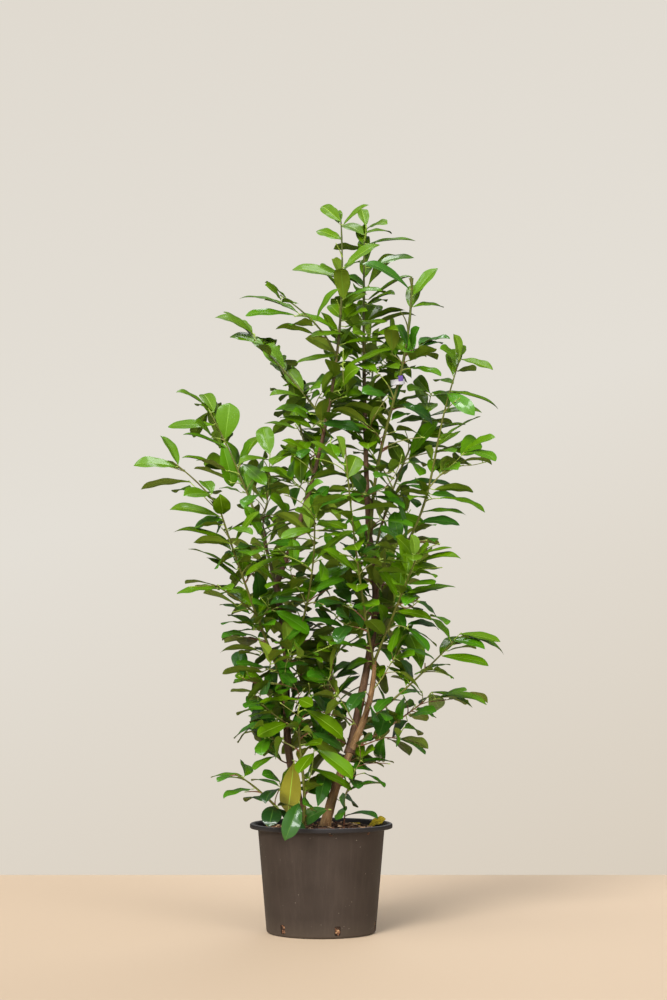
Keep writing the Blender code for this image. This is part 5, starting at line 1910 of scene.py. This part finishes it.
LABEL = (
    ("label_loop", "label_white", (206, 204, 212), 0.38, 0.006,
     (-268, 80, -STRIP_HIGH / 2, STRIP_HIGH / 2, LOOP_RADIUS, 64)),
    ("label_tab", "label_purple", (112, 84, 168), 0.34, 0.005,
     (-84, -42, 0.0010, 0.0150, LOOP_RADIUS + 0.0012, 12)),
)
middle = limb_point("leader_right", (399, 383)) + (-0.002, -(LOOP_RADIUS - 0.0052), 0)
lean = unit((-0.12, -0.10, 1.0))
across_label = square_to(np.array((1.0, 0, 0)), lean)
axes = np.stack((across_label, np.cross(lean, across_label), lean))
for name, look, colour, roughness, dents, sizes in LABEL:
    finish = Finish(look, paint(*colour), roughness)
    finish.relief(finish.noise(finish.place(), dents, 3), 0.0006, 0.5)
    points, faces = strip(*sizes)
    skin = Skin()
    skin.add(points @ axes + middle, faces, points)
    obj = skin.make(name, [finish.material])
    obj.data.set_sharp_from_angle(angle=EDGE_CREASE)

FALLEN = (
    ((0.120, 0.060, 0.003), (0.165, 0.046, 0.0210), 0.027),
    ((0.081, 0.060, 0.002), (0.102, 0.062, 0.003), 0.009),
    ((0.094, 0.086, 0.002), (0.074, 0.090, 0.003), 0.007),
    ((-0.120, 0.080, 0.003), (-0.142, 0.048, 0.004), 0.009),
)
fallen = []
for (x, y, lift), (tip_x, tip_y, tip_lift), width in FALLEN:
    foot = np.array((x, y, ground_height(x, y) + lift))
    tip = np.array((tip_x, tip_y, ground_height(tip_x, tip_y) + tip_lift))
    face = square_to(np.array((0.1, -0.7, 0.8)), tip - foot)
    length = float(np.linalg.norm(tip - foot))
    fallen.append(leaf_from(foot, unit(tip - foot), face, length, width, 2, 0, 0))
fallen_leaves = Skin()
for points, places in zip(*bend_leaves(fallen)):
    faces = []
    for (quads, ribs, ends), look in zip(LEAF_FACES, (0, 1)):
        faces += [(quads, look), (ends, look)]
    fallen_leaves.add(points, faces, places)
FALLEN_LOOKS = [leaf_finish("fallen_leaf_upper", (132, 116, 26), 0.55, 0.0),
                leaf_finish("fallen_leaf_under", (124, 112, 36), 0.60, 0.0)]
fallen_leaves.make("fallen_leaves", FALLEN_LOOKS)
print(len(STUBS), "stubs,", len(FALLEN), "fallen leaves, 1 label")

# %% [markdown]
# ## Floor and wall
# The plant stands on a pale floor before a cream wall. A real wall would hide the plant from behind, so
# the wall is only the world's colour where the lens looks past the plant, with painted shading that
# makes it darker low down and to the right. Everywhere else the world lights the plant: strongest from
# above in front, as a studio's ceiling does, and dimmed in the gloss, because waxy leaves would mirror it
# as a pale veil.

# %% Floor and world
FLOOR_EDGES = (-6.0, 6.0, -6.0, 1.35)
FLOOR_THICK = 0.02

left, right, front, back = FLOOR_EDGES
corners = [(x, y, z) for z in (-FLOOR_THICK, 0)
           for x, y in ((left, front), (right, front), (right, back), (left, back))]
sides = ring_faces(np.arange(8).reshape(2, 4)).tolist()
floor_mesh = bpy.data.meshes.new("floor")
floor_mesh.from_pydata(corners, [], [(3, 2, 1, 0), (4, 5, 6, 7), *sides])
floor_mesh.materials.append(Finish("floor", paint(203, 181, 156), 0.60).material)
floor = new_object("floor", floor_mesh)
floor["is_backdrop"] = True

world = bpy.data.worlds.new("wall_and_sky")
bpy.context.scene.world = world
world.use_nodes = True
sky = Wiring(world.node_tree)
sky.tree.nodes.clear()
looking = sky.node("TexCoord").outputs["Generated"]
parts = sky.node("SeparateXYZ", {0: looking}).outputs
# Painted shading on the wall: darker low down and to the right, lightest just above the middle, and a little
# darker again high up.
slope = sky.node("Math", {0: parts["X"], 1: -0.30, 2: parts["Z"]}, operation="MULTIPLY_ADD")
place = sky.node("Math", {0: slope.outputs[0], 1: 0.5}, operation="ADD")
wall = sky.node("ValToRGB", {0: place.outputs[0]})
painted_wall_shading = wall.color_ramp.elements
painted_wall_shading[0].position = 0.34
painted_wall_shading[0].color = (*paint(217, 206, 190), 1)
painted_wall_shading[1].position = 0.60
painted_wall_shading[1].color = (*paint(228, 223, 214), 1)
painted_wall_shading.new(0.85).color = (*paint(224, 218, 208), 1)
seen = sky.node("Background", {"Color": wall.outputs[0]})
facing = sky.node("VectorMath", {0: looking, 1: (-0.30, -0.75, 0.59)}, operation="DOT_PRODUCT")
strength = sky.node("MapRange", {"Value": facing.outputs["Value"], "From Min": 0.35, "From Max": 0.95,
                                 "To Min": 0.27, "To Max": 2.0}, interpolation_type="SMOOTHSTEP")
ray = sky.node("LightPath").outputs
in_gloss = sky.node("Math", {0: ray["Is Glossy Ray"], 1: -0.55, 2: 1.0}, operation="MULTIPLY_ADD")
dimmed = sky.node("Math", {0: strength.outputs["Result"], 1: in_gloss.outputs[0]}, operation="MULTIPLY")
ambient = sky.node("Background", {"Color": (*paint(232, 230, 226), 1), "Strength": dimmed.outputs[0]})
choice = sky.node("MixShader", {0: ray["Is Camera Ray"], 1: ambient.outputs[0], 2: seen.outputs[0]})
sky.node("OutputWorld", {0: choice.outputs[0]})
print(len(sky.tree.nodes), "nodes in the world")

# %% [markdown]
# ## Light
# The photo's light is even, like a studio's. One wide light from the left in front models the leaves, a
# weaker one on the right fills the shade, and one behind keeps the back from going dark. None of them
# shows in the gloss, where it would turn whole leaves white. The glints come from four bright cards
# overhead, which light nothing else. So the shine can be set without changing the light.

# %% Lights and cards
MIDDLE = Vector((0, 0, 0.9))


def add_light(name, kind, way, power, colour):
    """A light that shines along a direction."""
    light = bpy.data.lights.new(name, kind)
    light.energy = power
    light.color = colour
    obj = new_object(name, light)
    obj.rotation_euler = way.to_track_quat("-Z", "Y").to_euler()
    return obj


def soft_light(name, at, size, power):
    """A square light that points at the middle of the plant and isn't seen itself."""
    obj = add_light(name, "AREA", MIDDLE - Vector(at), power, (1, 1, 1))
    obj.data.shape = "SQUARE"
    obj.data.size = size
    obj.location = at
    obj.visible_camera = False
    return obj


def far_light(name, side, wide, power, colour):
    """A light so far to one side that it falls evenly. wide is how many degrees it spans."""
    obj = add_light(name, "SUN", -Vector(side), power, colour)
    obj.data.angle = math.radians(wide)
    obj.visible_glossy = False


CARDS = (
    ("card_high", (-0.5, -2.4, 4.4), 1.3, 72),
    ("card_top", (0.3, -0.4, 4.8), 1.3, 88),
    ("card_left", (-2.0, -0.2, 4.2), 1.2, 26),
    ("card_back", (-0.3, 1.8, 4.3), 0.8, 14),
)
for card in CARDS:
    obj = soft_light(*card)
    obj.visible_diffuse = False
    obj.visible_transmission = False
far_light("key_light", (-2.0, -4.2, 2.5), 25, 3.9, (1.0, 0.99, 0.97))
far_light("fill_light", (2.8, -4.0, 1.0), 30, 1.6, (1, 1, 1))
soft_light("back_light", (1.2, 3.6, 2.6), 3.0, 70).visible_glossy = False
bpy.context.scene.view_settings.view_transform = "Standard"
print(len(CARDS), "cards and 3 lights")

# %% [markdown]
# ## The size at the end
# The finished plant is meant to be the size of the imported model. Both boxes are printed, so that they
# can be compared.

# %% Size and finish
size = {"cad_box": CAD_BOX, "visual_box": [list(corner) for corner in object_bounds()]}
print("boxes in metres:", size)
